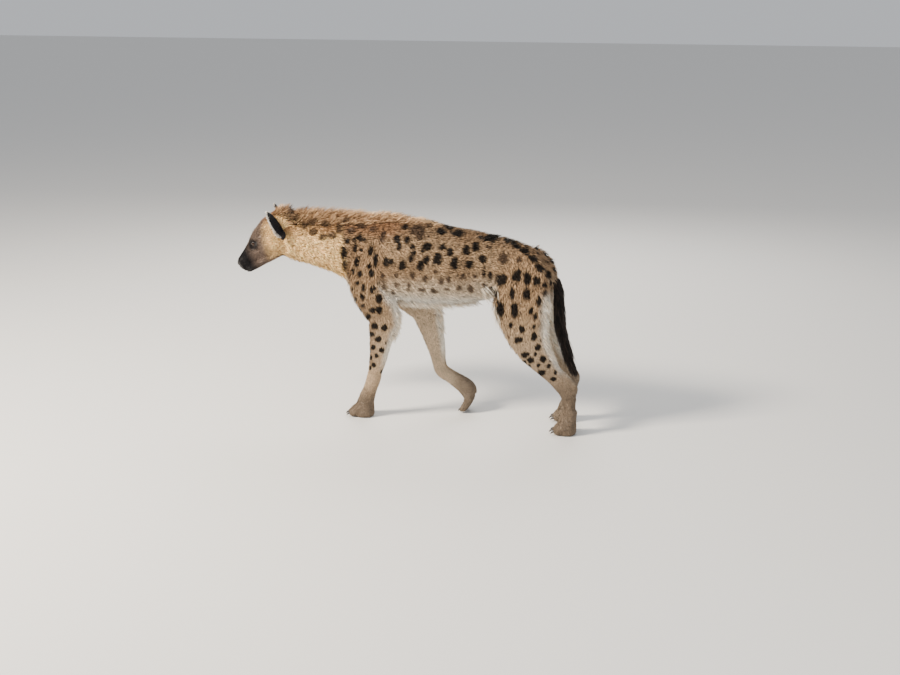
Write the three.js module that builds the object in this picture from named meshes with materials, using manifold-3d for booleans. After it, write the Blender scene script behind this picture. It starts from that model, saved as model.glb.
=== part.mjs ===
// A spotted hyena, life size, walking with its head low: the near forefoot is planted ahead, the far
// forefoot is just leaving the ground on its toe tips, and both hind feet are down.
// Units are millimetres. +Z is up, the animal faces -X, and its left side is towards -Y. The origin is on
// the floor, under the middle of the body's box.
import * as THREE from "three";
import { mergeVertices } from "three/addons/utils/BufferGeometryUtils.js";
import Module from "manifold-3d";

const wasm = await Module();
wasm.setup();

// Driving sizes
const GAP = 0.3; // between two parts that touch
const HEAD_LENGTH = 270; // nose tip to the back of the skull
const HEAD_PITCH = 0.67; // how far the muzzle points below level, in radians
const HEAD_YAW = -0.27; // the head's turn, to the animal's left where negative, in radians
const NOSE_TIP = [-686, -46, 557];
const EYE_RADIUS = 12;
const EYE_AT = [114, 39, 33]; // back from the nose, out from the midline, up from the nose's level
const EAR_LENGTH = 108;
const EAR_HALF_WIDTH = 41;
const EAR_AT = [230, 70, 2];
const EAR_LEAN = [0.14, 0.55, 1]; // back, out and up, in the head's own frame
const EAR_WALL = 4;
const MANE_LENGTH = 39;
const BRUSH_LENGTH = 96; // of a lock on the tail
const FRINGE_LENGTH = 38; // of a lock under the belly
const TOE_RADIUS = 14;

// Seeded random numbers, so that every build is the same.
let seed = 20261;
function random(low = 0, high = 1) {
  seed = (seed * 1664525 + 1013904223) % 4294967296;
  return low + ((high - low) * seed) / 4294967296;
}

// A body of rounded sections along a smooth path. A row is x, y, z, then the section's reach on the side
// that is up (or behind, on a leg), the reach on the other side, the half width, and how square it is.
class Loft {
  constructor(rows, across = [0, 1, 0]) {
    this.path = new THREE.CatmullRomCurve3(rows.map((r) => new THREE.Vector3(r[0], r[1], r[2])));
    this.sizes = new THREE.CatmullRomCurve3(rows.map((r) => new THREE.Vector3(r[3], r[4], r[5])));
    this.squares = new THREE.CatmullRomCurve3(rows.map((r, i) => new THREE.Vector3(i * 9, r[6] ?? 2, 0)));
    this.across = new THREE.Vector3(...across);
  }
  frame(t) {
    const along = this.path.getTangent(t);
    const side = this.across.clone().addScaledVector(along, -this.across.dot(along)).normalize();
    return { at: this.path.getPoint(t), along, side, up: along.clone().cross(side) };
  }
  // The point of the surface at share t of the path, turned by angle from the side towards up.
  point(t, angle, grow = 0) {
    const { at, side, up } = this.frame(t);
    const size = this.sizes.getPoint(t);
    const power = 2 / this.squares.getPoint(t).y;
    const [c, s] = [Math.cos(angle), Math.sin(angle)];
    const reach = (s > 0 ? size.x : size.y) + grow;
    return at
      .addScaledVector(side, (size.z + grow) * Math.sign(c) * Math.abs(c) ** power)
      .addScaledVector(up, reach * Math.sign(s) * Math.abs(s) ** power);
  }
  normal(t, angle) {
    const step = 0.01;
    const [lo, hi] = [Math.max(0, t - step), Math.min(1, t + step)];
    const along = this.point(hi, angle).sub(this.point(lo, angle));
    const round = this.point(t, angle + step).sub(this.point(t, angle - step));
    return round.cross(along).normalize();
  }
  // The closed mesh: a sphere's rows become the sections, and its poles the middles of the two ends.
  geometry(rings, sides, grow = 0) {
    const g = new THREE.SphereGeometry(1, sides, rings);
    const spots = g.getAttribute("position");
    for (let i = 0; i <= rings; i++) {
      const t = Math.min(1, Math.max(0, (i - 1) / (rings - 2)));
      const pole = i === 0 || i === rings;
      const { at, along } = this.frame(t);
      for (let j = 0; j <= sides; j++) {
        const p = pole ? at.clone() : this.point(t, (2 * Math.PI * (j % sides)) / sides, grow);
        if (grow && t === 0) p.addScaledVector(along, -grow);
        if (grow && t === 1) p.addScaledVector(along, grow);
        spots.setXYZ(i * (sides + 1) + j, p.x, p.y, p.z);
      }
    }
    return g;
  }
  solid(rings, sides, grow = 0) {
    return solid(this.geometry(rings, sides, grow));
  }
}

// A closed three.js geometry as a solid to join and cut, whichever way its faces were wound.
function solid(geometry) {
  for (const extra of ["normal", "uv"]) geometry.deleteAttribute(extra);
  const merged = mergeVertices(geometry, 1e-3);
  const spots = merged.getAttribute("position").array;
  const faces = [];
  for (let i = 0; i < merged.index.count; i += 3) {
    const [a, b, c] = merged.index.array.slice(i, i + 3);
    if (a !== b && b !== c && c !== a) faces.push(a, b, c);
  }
  const make = (list) =>
    new wasm.Manifold(
      new wasm.Mesh({ numProp: 3, vertProperties: spots, triVerts: new Uint32Array(list) }),
    );
  const made = make(faces);
  if (made.volume() > 0) return made;
  return make(faces.reverse());
}

const joined = (pieces) => pieces.reduce((all, piece) => all.add(piece));

// The largest closed surface of a solid, which drops a scrap left by a cut.
function largest(made) {
  return made.decompose().reduce((best, piece) => (piece.volume() > best.volume() ? piece : best));
}

function box(x0, x1, y0, y1, z0, z1) {
  const g = new THREE.BoxGeometry(x1 - x0, y1 - y0, z1 - z0);
  return solid(g.translate((x0 + x1) / 2, (y0 + y1) / 2, (z0 + z1) / 2));
}

// A block whose flat face passes through a point, with the rest on the side that the face looks away from.
function halfSpace(point, facing, shift = 0) {
  const size = 1600;
  const g = new THREE.BoxGeometry(size, size, size).translate(0, 0, -size / 2 + shift);
  const turn = new THREE.Quaternion().setFromUnitVectors(
    new THREE.Vector3(0, 0, 1),
    new THREE.Vector3(...facing).normalize(),
  );
  return solid(g.applyQuaternion(turn).translate(...point));
}

// Trunk: x, y, middle height, reach up, reach down, half width
const trunkRow = (x, top, bottom, half, square) => {
  const middle = bottom + (top - bottom) * 0.52;
  return [x, 0, middle, top - middle, middle - bottom, half, square];
};
const TRUNK = new Loft([
  trunkRow(-266, 752, 566, 62, 2),
  trunkRow(-222, 780, 514, 90, 2.1),
  trunkRow(-150, 784, 466, 108, 2.15),
  trunkRow(-60, 780, 446, 119, 2.2),
  trunkRow(40, 769, 441, 124, 2.2),
  trunkRow(140, 753, 446, 122, 2.2),
  trunkRow(235, 741, 460, 113, 2.15),
  trunkRow(325, 728, 482, 102, 2.1),
  trunkRow(405, 709, 500, 99, 2.1),
  trunkRow(470, 680, 510, 92, 2),
  trunkRow(520, 642, 516, 74, 2),
  trunkRow(553, 602, 526, 46, 2),
  trunkRow(566, 578, 545, 18, 2),
]);
const NECK = new Loft([
  [-548, 0, 668, 70, 70, 60, 2],
  [-500, 3, 676, 92, 86, 72, 2.1],
  [-440, 3, 672, 104, 92, 77, 2.1],
  [-370, 1, 664, 114, 99, 83, 2.1],
  [-290, 0, 655, 125, 110, 92, 2.1],
  [-222, 0, 645, 135, 126, 98, 2.1],
  [-150, 0, 640, 135, 120, 92, 2.1],
]);

// Legs: rows of the same sizes, put at the joints' places in each leg's own pose
const FORE_SIZES = [
  [42, 42, 20, 2],
  [66, 60, 34, 2.1],
  [76, 74, 44, 2.2],
  [74, 74, 47, 2.2],
  [70, 72, 45, 2.2],
  [70, 68, 40, 2.2],
  [53, 52, 35, 2.1],
  [42, 43, 31, 2.1],
  [33, 34, 27, 2.1],
  [27, 27, 26, 2.2],
  [28, 26, 28, 2.2],
  [25, 27, 26, 2.2],
  [29, 31, 31, 2.2],
];
const HIND_SIZES = [
  [66, 66, 28, 2],
  [100, 94, 44, 2.1],
  [110, 106, 51, 2.2],
  [110, 110, 51, 2.2],
  [98, 98, 46, 2.2],
  [82, 82, 40, 2.1],
  [64, 68, 35, 2.1],
  [46, 48, 30, 2.1],
  [33, 34, 25, 2.1],
  [27, 30, 25, 2.2],
  [24, 26, 22, 2.2],
  [21, 23, 21, 2.2],
  [26, 28, 27, 2.2],
];
const legRows = (places, sizes, side) =>
  places.map(([x, y, z], i) => [x, side * y, z, ...sizes[i]]);

const LEFT = -1;
const RIGHT = 1;
const LEFT_FORE = new Loft(
  legRows(
    [
      [-88, 60, 715],
      [-112, 78, 655],
      [-136, 86, 585],
      [-138, 92, 520],
      [-105, 93, 460],
      [-78, 91, 408],
      [-84, 87, 350],
      [-93, 84, 290],
      [-104, 82, 230],
      [-117, 80, 182],
      [-124, 80, 155],
      [-137, 79, 112],
      [-152, 78, 74],
    ],
    FORE_SIZES,
    LEFT,
  ),
);
const RIGHT_FORE = new Loft(
  legRows(
    [
      [-92, 60, 715],
      [-116, 78, 655],
      [-126, 86, 585],
      [-98, 92, 520],
      [-38, 93, 460],
      [28, 91, 408],
      [51, 88, 350],
      [71, 86, 290],
      [85, 85, 232],
      [92, 85, 190],
      [102, 85, 160],
      [138, 85, 138],
      [180, 85, 114],
    ],
    FORE_SIZES,
    RIGHT,
  ),
);
const HIND_PLACES = [
  [430, 46, 664],
  [446, 68, 606],
  [455, 78, 548],
  [457, 84, 488],
  [466, 87, 430],
  [482, 88, 374],
  [508, 87, 322],
  [548, 85, 268],
  [594, 83, 215],
  [634, 81, 166],
  [644, 80, 128],
  [645, 80, 96],
  [641, 80, 66],
];
// The far hind leg stands a little ahead: what is lower on it is further forward.
const FAR_HIND_AHEAD = 34;
const hipHeight = 560;
const ahead = ([x, y, z]) => [x - FAR_HIND_AHEAD * Math.min(1, Math.max(0, 1 - z / hipHeight)), y, z];
const LEFT_HIND = new Loft(legRows(HIND_PLACES, HIND_SIZES, LEFT));
const RIGHT_HIND = new Loft(legRows(HIND_PLACES.map(ahead), HIND_SIZES, RIGHT));

// The point of the hock, where the heel tendon ends
function hockPoint(side, shift) {
  const rows = [
    [608, 83, 236, 15, 15, 13],
    [640, 82, 204, 16, 16, 14],
    [661, 81, 180, 15, 15, 14],
    [657, 81, 150, 14, 14, 13],
    [648, 81, 122, 10, 10, 10],
  ];
  return new Loft(rows.map(([x, y, z, ...size]) => [x - shift, side * y, z, ...size])).solid(8, 6);
}

// A paw: its block, four toes and their claws, in a frame whose origin is the ball of the foot on the
// floor, with the toes towards -X. Curl turns the toes down for a foot that is leaving the ground.
const TOE_SPREAD = [-30, -10.5, 10.5, 30];
const TOE_REACH = [-10, 0, 0, -10];
function flatPaw(x, y, reach) {
  const pieces = [
    new Loft([
      [x + 12, y, 96, 24, 26, 26, 2.2],
      [x + 4, y, 66, 29, 31, 31, 2.2],
      [x - 4, y, 38, 38, 34, 37, 2.3],
      [x - 6, y, 12, 38, 34, 38, 2.3],
      [x - 6, y, -12, 34, 30, 34, 2.3],
    ]).solid(7, 12),
  ];
  TOE_SPREAD.forEach((spread, i) => {
    const tip = x - reach - TOE_REACH[i];
    const r = TOE_RADIUS;
    pieces.push(
      new Loft([
        [x - 12, y + spread * 0.8, 32, r, r, r - 1],
        [tip + 30, y + spread * 0.96, 36, r + 1, r + 1, r],
        [tip + 12, y + spread * 1.04, 25, r, r, r - 1],
        [tip, y + spread * 1.08, 13, r - 3, r - 2, r - 4],
        [tip - 5, y + spread * 1.08, 9, 5, 5, 6],
      ]).solid(6, 7),
    );
    pieces.push(claw([tip - 1, y + spread * 1.08, 17], [tip - 14, y + spread * 1.1, 13], [tip - 21, y + spread * 1.1, 5]));
  });
  return joined(pieces);
}

function claw(root, middle, tip) {
  return new Loft([
    [...root, 4.2, 4.2, 3.4],
    [...middle, 3.8, 3.8, 2.8],
    [...tip, 0.9, 0.9, 0.8],
  ]).solid(4, 5);
}

// The far forefoot hangs from its wrist, with the toe tips on the floor.
function liftedPaw(y) {
  const pieces = [
    new Loft([
      [150, y, 131, 26, 28, 27, 2.2],
      [182, y, 113, 29, 31, 31, 2.2],
      [208, y, 92, 32, 33, 36, 2.3],
      [219, y, 66, 27, 28, 35, 2.3],
    ]).solid(6, 12),
  ];
  TOE_SPREAD.forEach((spread, i) => {
    const short = -TOE_REACH[i] * 0.35;
    const r = TOE_RADIUS;
    pieces.push(
      new Loft([
        [210, y + spread * 0.8, 84, r, r, r - 1],
        [217, y + spread * 0.94, 60 + short, r + 1, r + 1, r],
        [210, y + spread * 1.02, 34 + short, r, r, r - 1],
        [197, y + spread * 1.06, 13 + short, r - 3, r - 1, r - 3],
        [190, y + spread * 1.06, 5 + short, 6, 6, 6],
      ]).solid(6, 7),
    );
    pieces.push(
      claw(
        [196, y + spread * 1.06, 16 + short],
        [184, y + spread * 1.08, 12 + short],
        [178, y + spread * 1.08, 4 + short],
      ),
    );
  });
  return joined(pieces);
}

// Head, in its own frame: x back from the nose tip, y out, z up
const k = HEAD_LENGTH / 284;
const headRow = (x, top, bottom, half, square) => {
  const middle = (top + bottom) / 2;
  return [x * k, 0, middle * k, ((top - bottom) / 2) * k, ((top - bottom) / 2) * k, half * k, square];
};
const SKULL = new Loft([
  headRow(2, 16, -15, 19, 2.4),
  headRow(10, 23, -22, 27, 2.5),
  headRow(30, 30, -29, 36, 2.6),
  headRow(60, 39, -36, 41, 2.6),
  headRow(92, 50, -42, 46, 2.5),
  headRow(118, 62, -48, 57, 2.4),
  headRow(142, 75, -56, 73, 2.3),
  headRow(172, 85, -66, 86, 2.2),
  headRow(204, 90, -73, 91, 2.15),
  headRow(238, 89, -76, 86, 2.1),
  headRow(272, 80, -74, 76, 2.1),
  headRow(306, 62, -66, 62, 2),
]);
const JAW = new Loft([
  headRow(16, -18, -38, 16, 2.2),
  headRow(24, -16, -46, 26, 2.3),
  headRow(50, -16, -53, 33, 2.3),
  headRow(90, -20, -60, 39, 2.2),
  headRow(130, -24, -68, 50, 2.2),
  headRow(170, -20, -76, 58, 2.1),
]);

function geometryOf(made) {
  const mesh = made.getMesh();
  const g = new THREE.BufferGeometry();
  g.setAttribute("position", new THREE.BufferAttribute(Float32Array.from(mesh.vertProperties), 3));
  g.setIndex(new THREE.BufferAttribute(Uint32Array.from(mesh.triVerts), 1));
  return g;
}
const moved = (made, turn) => solid(geometryOf(made).applyMatrix4(turn));

function place(made, side = 1) {
  const turn = new THREE.Matrix4()
    .makeTranslation(...NOSE_TIP)
    .multiply(new THREE.Matrix4().makeRotationZ(-HEAD_YAW))
    .multiply(new THREE.Matrix4().makeRotationY(-HEAD_PITCH))
    .multiply(new THREE.Matrix4().makeScale(1, side, 1));
  return moved(made, turn);
}

// Eye socket, lids and brow on the +Y side of the head's own frame
const GAZE = new THREE.Vector3(-0.72, 0.68, 0.1).normalize();
function ball(centre, radius, sides = 12, rings = 8) {
  return solid(new THREE.SphereGeometry(radius, sides, rings).translate(...centre));
}
function eyeOpening() {
  const [x, y, z] = EYE_AT;
  const rows = [
    [0, 7, 6, 12],
    [34, 10, 9, 17],
  ].map(([out, up, down, half]) => [
    x + GAZE.x * out,
    y + GAZE.y * out,
    z + GAZE.z * out,
    up,
    down,
    half,
    1.7,
  ]);
  return new Loft(rows, [0.68, 0.72, -0.12]).solid(4, 12);
}
function headDetail() {
  const [x, y, z] = EYE_AT;
  const lid = ball([x + 1.5, y, z], EYE_RADIUS + 3.6, 12, 8);
  const brow = new Loft([
    [x - 12, y - 20, z + 12, 6, 6, 8],
    [x - 4, y - 2, z + 17, 8, 8, 10],
    [x + 14, y + 14, z + 18, 9, 9, 10],
    [x + 34, y + 22, z + 12, 6, 6, 8],
  ], [0, 0, 1]).solid(6, 6);
  const cheek = new Loft([
    [x + 6, y + 6, z - 24, 8, 8, 8],
    [x + 30, y + 24, z - 24, 14, 14, 12],
    [x + 66, y + 38, z - 20, 18, 18, 12],
    [x + 104, y + 34, z - 12, 12, 12, 10],
  ], [0, 1, 0]).solid(7, 7);
  const lip = new Loft([
    [14, 12, -22, 6, 9, 8],
    [30, 25, -28, 9, 11, 9],
    [60, 33, -33, 10, 11, 8],
    [90, 38, -37, 9, 10, 8],
    [116, 43, -40, 6, 6, 7],
  ]).solid(8, 7);
  return { lid, brow, cheek, lip };
}

// The mouth's line: a thin groove between the upper lips and the jaw
function mouthGroove() {
  const rows = [
    [8, 0, -28],
    [14, 14, -31],
    [30, 30, -37],
    [60, 40, -42.5],
    [92, 46, -47],
    [112, 49, -46],
  ];
  return new Loft(
    rows.map((r) => [...r, 1.6, 1.6, 7, 2]),
    [-0.35, 1, 0],
  ).solid(8, 4);
}

function nostril() {
  return new Loft([
    [-3, 9.5, 5, 4.6, 4.2, 4.4],
    [4, 9, 4.5, 4, 3.6, 3.8],
    [13, 7, 3, 1.5, 1.5, 1.5],
  ]).solid(5, 7);
}

function head() {
  const half = headDetail();
  const mirror = (made) => made.mirror([0, 1, 0]);
  let made = joined([SKULL.solid(17, 20), JAW.solid(8, 10)]);
  for (const side of [(m) => m, mirror]) {
    made = joined([made, side(half.lid), side(half.brow), side(half.cheek), side(half.lip)]);
  }
  for (const side of [(m) => m, mirror]) {
    made = made.subtract(side(ball(EYE_AT, EYE_RADIUS + GAP)));
    made = made.subtract(side(eyeOpening()));
    made = made.subtract(side(mouthGroove()));
    made = made.subtract(side(nostril()));
  }
  return made;
}

// An ear: a rounded cup that is open to the front, in its own frame of out, forward and up the ear
function ear(grow) {
  const n = EAR_LENGTH;
  const w = EAR_HALF_WIDTH;
  const rows = [
    [-0.24, 0.5, 17, 17],
    [0.02, 0.66, 20, 19],
    [0.24, 0.92, 20, 18],
    [0.5, 1, 16, 14],
    [0.74, 0.86, 11, 8],
    [0.91, 0.56, 7, 4],
    [1, 0.2, 3, 2],
  ];
  const outer = new Loft(rows.map(([up, wide, back, front]) => [0, 0, up * n, front, back, wide * w, 2.1]), [1, 0, 0]);
  const inner = new Loft(
    rows.slice(1).map(([up, wide, back, front]) => [
      0,
      0,
      up * n + 6 * (1 - up),
      front + 16,
      Math.max(1, back - EAR_WALL - 1),
      Math.max(1.5, wide * w - EAR_WALL - 1),
      2,
    ]),
    [1, 0, 0],
  );
  return { outer: outer.solid(9, 12, grow), inner: inner.solid(8, 10) };
}

function earTurn() {
  const up = new THREE.Vector3(...EAR_LEAN).normalize();
  const forward = new THREE.Vector3(-0.97, -0.15, 0.1);
  forward.addScaledVector(up, -forward.dot(up)).normalize();
  const out = forward.clone().cross(up);
  return new THREE.Matrix4().makeBasis(out, forward, up).setPosition(new THREE.Vector3(...EAR_AT));
}
function placedEar(side, headGrown) {
  const { outer, inner } = ear(0);
  return place(largest(moved(outer.subtract(inner), earTurn()).subtract(headGrown)), side);
}
// The room that locks leave to an ear: its outside, a little larger, above the head's surface
function placedEarRoom(side) {
  return place(moved(ear(1).outer, earTurn()).subtract(SKULL.solid(17, 20, GAP)), side);
}

// A flat lock: a four-sided cone that leaves the coat one way, bends another way and tapers to its tip.
const LOCK_WIDE = [0.42, 0.52, 0.36, 0];
const LOCK_THICK = [0.2, 0.22, 0.14, 0];
const LOCK_STEPS = [0.36, 0.36, 0.28];
function lock(root, out, lean, bend, length, width, sink = 12, turn = 0) {
  const first = lean.clone().normalize();
  const last = bend.clone().normalize();
  const spine = [root.clone().addScaledVector(out, -sink)];
  let at = root.clone();
  LOCK_STEPS.forEach((share, i) => {
    at = at.clone().addScaledVector(first.clone().lerp(last, i / 2).normalize(), length * share);
    spine.push(at);
  });
  const across = first.clone().cross(out);
  if (across.length() < 0.2) across.copy(last).cross(out);
  across.normalize().applyAxisAngle(first, turn);
  const flat = across.clone().cross(first).normalize();
  const g = new THREE.ConeGeometry(1, 1, 4, 3);
  const spots = g.getAttribute("position");
  for (let i = 0; i < spots.count; i++) {
    const row = Math.round((spots.getY(i) + 0.5) * 3);
    const centre = Math.hypot(spots.getX(i), spots.getZ(i)) < 1e-6;
    const angle = Math.atan2(spots.getX(i), spots.getZ(i));
    const p = spine[row].clone();
    if (!centre) p.addScaledVector(across, Math.cos(angle) * LOCK_WIDE[row] * width);
    if (!centre) p.addScaledVector(flat, Math.sin(angle) * LOCK_THICK[row] * width);
    spots.setXYZ(i, p.x, p.y, p.z);
  }
  return solid(g);
}

// Mane: rows of locks over the nape and withers, upright on the neck and lying back behind the shoulders
function maneLocks(loft, from, to, rows, spreads, width) {
  const locks = [];
  for (let i = 0; i < rows; i++) {
    spreads.forEach((spread, j) => {
      const t = from + ((to - from) * (i + (j % 2 ? 0.75 : 0.25) + random(-0.12, 0.12))) / rows;
      const angle = Math.PI / 2 + spread + random(-0.04, 0.04);
      const root = loft.point(t, angle);
      const out = loft.normal(t, angle);
      const length = maneLength(root.x) * (1 - 0.3 * Math.abs(spread)) * random(0.88, 1.08);
      const { lean, bend } = maneLean(root.x, out);
      const turn = random(0.5, 1.25) * (j % 2 ? 1 : -1);
      locks.push(lock(root, out, lean, bend, length, width * random(0.9, 1.1), 12, turn));
    });
  }
  return locks;
}
function maneLength(x) {
  const front = Math.min(1, Math.max(0, (x + 560) / 150));
  const back = Math.min(1, Math.max(0, (130 - x) / 210));
  return MANE_LENGTH * (0.45 + 0.55 * front) * (0.42 + 0.58 * back);
}
function maneLean(x, out) {
  const share = Math.min(1, Math.max(0, (x + 470) / 330));
  const back = 0.3 + 0.8 * share;
  const lean = out.clone().add(new THREE.Vector3(back, 0, 0.25 - 0.3 * share));
  const bend = out.clone().multiplyScalar(0.75 - 0.3 * share).add(new THREE.Vector3(back * 1.25, 0, 0.1));
  return { lean, bend };
}

// Tail, with long locks that overlap down its brush
const TAIL = new Loft([
  [524, 0, 592, 20, 20, 19],
  [556, 0, 577, 20, 20, 19],
  [575, 0, 542, 17, 17, 17],
  [581, 0, 490, 15, 15, 15],
  [585, 0, 430, 13, 13, 14],
  [593, 0, 380, 12, 12, 13],
  [606, 0, 330, 10, 10, 11],
  [619, 0, 285, 7, 7, 8],
  [630, 0, 255, 3, 3, 4],
]);
function brushLocks() {
  const locks = [];
  const rows = 6;
  const around = 4;
  for (let i = 0; i < rows; i++) {
    const t = 0.36 + (0.56 * i) / (rows - 1);
    for (let j = 0; j < around; j++) {
      const angle = (2 * Math.PI * (j + (i % 2) * 0.5)) / around + random(-0.1, 0.1);
      const root = TAIL.point(t, angle);
      const out = TAIL.normal(t, angle);
      const along = TAIL.path.getTangent(t);
      const length = BRUSH_LENGTH * Math.min(1, 0.6 + 0.13 * i) * random(0.85, 1.05);
      const lean = along.clone().addScaledVector(out, 0.34);
      const bend = along.clone().addScaledVector(out, -0.06).add(new THREE.Vector3(0.1, 0, 0));
      locks.push(lock(root, out, lean, bend, length, random(24, 28), 5));
    }
  }
  return locks;
}

// Shaggy fringe under the belly, and longer on the folds in front of the thighs
function fringeLocks() {
  const locks = [];
  const rows = 7;
  const place = (t, angle, length) => {
    const root = TRUNK.point(t, angle);
    const out = TRUNK.normal(t, angle);
    const lean = new THREE.Vector3(0.9, 0, -0.55).addScaledVector(out, 0.4);
    const bend = new THREE.Vector3(0.6, 0, -0.8).addScaledVector(out, 0.1);
    locks.push(lock(root, out, lean, bend, length, random(18, 22)));
  };
  for (let i = 0; i < rows; i++) {
    for (const spread of [-0.5, 0, 0.5]) {
      const t = 0.34 + (0.32 * (i + (spread ? 0.5 : 0) + random(-0.15, 0.15))) / rows;
      place(t, -Math.PI / 2 + spread + random(-0.05, 0.05), FRINGE_LENGTH * random(0.85, 1.15));
    }
  }
  for (const side of [-1, 1]) {
    for (let i = 0; i < 3; i++) {
      place(0.66 + 0.014 * i, -Math.PI / 2 + side * (1.25 - 0.26 * i), FRINGE_LENGTH * 1.4);
    }
  }
  return locks;
}

// The whole body, before it is parted
const floor = halfSpace([0, 0, 0], [0, 0, 1]);
const headShape = head();
const headSolid = place(headShape);
const legs = [
  { side: LEFT, loft: LEFT_FORE, x0: -245, x1: 24 },
  { side: RIGHT, loft: RIGHT_FORE, x0: -205, x1: 118 },
];
const bodyPieces = (grow) => [
  TRUNK.solid(24, 20, grow),
  NECK.solid(9, 20, grow),
  ...[LEFT_FORE, RIGHT_FORE, LEFT_HIND, RIGHT_HIND].map((leg) => leg.solid(18, 10, grow)),
];
const paws = {
  foreLeft: flatPaw(-158, LEFT * 79, 57),
  foreRight: liftedPaw(RIGHT * 85),
  hindLeft: flatPaw(640, LEFT * 80, 47),
  hindRight: flatPaw(640 - FAR_HIND_AHEAD, RIGHT * 80, 47),
};
const hocks = [hockPoint(LEFT, 0), hockPoint(RIGHT, FAR_HIND_AHEAD * 0.66)];
const whole = joined([headSolid, ...bodyPieces(0), ...hocks, ...Object.values(paws)]).subtract(floor);

// Planes that part the body, each with the way it faces
const HEAD_CUT = { at: [-497, 8, 690], facing: [-0.94, 0, -0.34] };
const NECK_CUT = { at: [-238, 0, 640], facing: [-1, 0, 0.12] };
const HAUNCH_CUT = { at: [450, 0, 556], facing: [0.46, 0, -1] };
const MIDDLE = { at: [0, 0, 0], facing: [0, 1, 0] };
const WRIST_CUT = { at: [119, 0, 148], facing: [0.86, 0, -0.5] };
const FORE_PASTERN = { at: [0, 0, 92], facing: [0, 0, -1] };
const HIND_PASTERN = { at: [0, 0, 82], facing: [0, 0, -1] };
const away = ([x, y, z]) => [-x, -y, -z];
const beyond = ({ at, facing }) => halfSpace(at, away(facing), GAP / 2); // all on the side the plane faces
const before = ({ at, facing }) => halfSpace(at, facing, GAP / 2);

const ARM_TOP = 488;
const FOREARM_TOP = 300;
const FOREARM_REACH = 330;
const ARM_INSIDE = 48;
function armBlock({ side, x0, x1 }, grow) {
  const [y0, y1] = side === LEFT ? [-400, -ARM_INSIDE + grow] : [ARM_INSIDE - grow, 400];
  const forearm = box(x0 - grow, FOREARM_REACH + grow, y0, y1, -50, FOREARM_TOP + grow);
  return box(x0 - grow, x1 + grow, y0, y1, -50, ARM_TOP + grow).add(forearm);
}

// Ears and eyes
const skullGrown = SKULL.solid(17, 20, GAP);
const earLeft = placedEar(-1, skullGrown);
const earRight = placedEar(1, skullGrown);
const eyes = [-1, 1].map((side) => place(ball(EYE_AT, EYE_RADIUS, 12, 8), side));

// Head and neck
const crownLocks = [];
for (let i = 0; i < 4; i++) {
  for (const spread of i % 2 ? [-0.25, 0.25] : [0]) {
    const t = 0.68 + 0.085 * i;
    const root = SKULL.point(t, Math.PI / 2 + spread);
    const out = SKULL.normal(t, Math.PI / 2 + spread);
    const lean = out.clone().multiplyScalar(0.75).add(new THREE.Vector3(0.75, 0, 0));
    const bend = new THREE.Vector3(1, 0, 0.25);
    crownLocks.push(lock(root, out, lean, bend, 26 + 7 * i, random(17, 20), 8));
  }
}
const crown = place(joined(crownLocks));
const earRoom = [-1, 1].map((side) => placedEarRoom(side));
const headNode = largest(
  joined([whole.subtract(before(HEAD_CUT)), crown.subtract(before(HEAD_CUT))]).subtract(joined(earRoom)),
);
const napeLocks = maneLocks(NECK, 0.13, 0.84, 9, [-0.7, -0.35, 0, 0.35, 0.7], 34);
const neckNode = largest(
  joined([whole.subtract(beyond(HEAD_CUT)), ...napeLocks])
    .subtract(beyond(HEAD_CUT))
    .subtract(before(NECK_CUT))
    .subtract(joined(earRoom)),
);

// Torso, with the withers' part of the mane and the fringe
const torsoFlesh = whole
  .subtract(beyond(NECK_CUT))
  .subtract(beyond(HAUNCH_CUT))
  .subtract(joined(legs.map((leg) => armBlock(leg, GAP / 2))));
const withersLocks = maneLocks(TRUNK, 0.045, 0.43, 7, [-0.48, -0.16, 0.16, 0.48], 37);
const rearPlane = beyond(HAUNCH_CUT);
const torsoNode = largest(
  joined([torsoFlesh, ...withersLocks, ...fringeLocks()])
    .subtract(beyond(NECK_CUT))
    .subtract(rearPlane)
    .subtract(joined(legs.map((leg) => armBlock(leg, GAP / 2)))),
);

// Legs and paws
const [foreLeft, foreRight] = legs.map((leg) => whole.intersect(armBlock(leg, -GAP / 2)));
const rear = whole.subtract(before(HAUNCH_CUT)).intersect(box(200, 900, -400, 400, -50, 900));
const hindLeft = rear.subtract(beyond(MIDDLE));
const hindRight = rear.subtract(before(MIDDLE));

// Tail, kept clear of the rump that it grows from
const rump = joined(bodyPieces(GAP));
const tailNode = largest(joined([TAIL.solid(17, 8), ...brushLocks()]).subtract(rump));

const PELT = 0xb59a78;
const MANE = 0x8a6a48;
const DARK = 0x241f1c;
const PAW = 0x8f8272;
const group = new THREE.Group();
const body = new THREE.Group();
group.add(body);
function node(name, made, colour, roughness = 0.9) {
  const part = new THREE.Mesh(geometryOf(made), new THREE.MeshStandardMaterial({ color: colour, roughness, metalness: 0 }));
  part.name = name;
  body.add(part);
}
node("head", headNode, PELT);
node("neck", neckNode, MANE);
node("torso", torsoNode, PELT);
node("tail", tailNode, DARK);
node("foreleg_left", largest(foreLeft.subtract(beyond(FORE_PASTERN))), PELT);
node("foreleg_right", largest(foreRight.subtract(beyond(WRIST_CUT))), PELT);
node("hindleg_left", largest(hindLeft.subtract(beyond(HIND_PASTERN))), PELT);
node("hindleg_right", largest(hindRight.subtract(beyond(HIND_PASTERN))), PELT);
node("forepaw_left", largest(foreLeft.subtract(before(FORE_PASTERN))), PAW);
node("forepaw_right", largest(foreRight.subtract(before(WRIST_CUT))), PAW);
node("hindpaw_left", largest(hindLeft.subtract(before(HIND_PASTERN))), PAW);
node("hindpaw_right", largest(hindRight.subtract(before(HIND_PASTERN))), PAW);
node("ear_left", earLeft, DARK);
node("ear_right", earRight, DARK);
node("eye_left", eyes[0], DARK, 0.15);
node("eye_right", eyes[1], DARK, 0.15);

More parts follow.
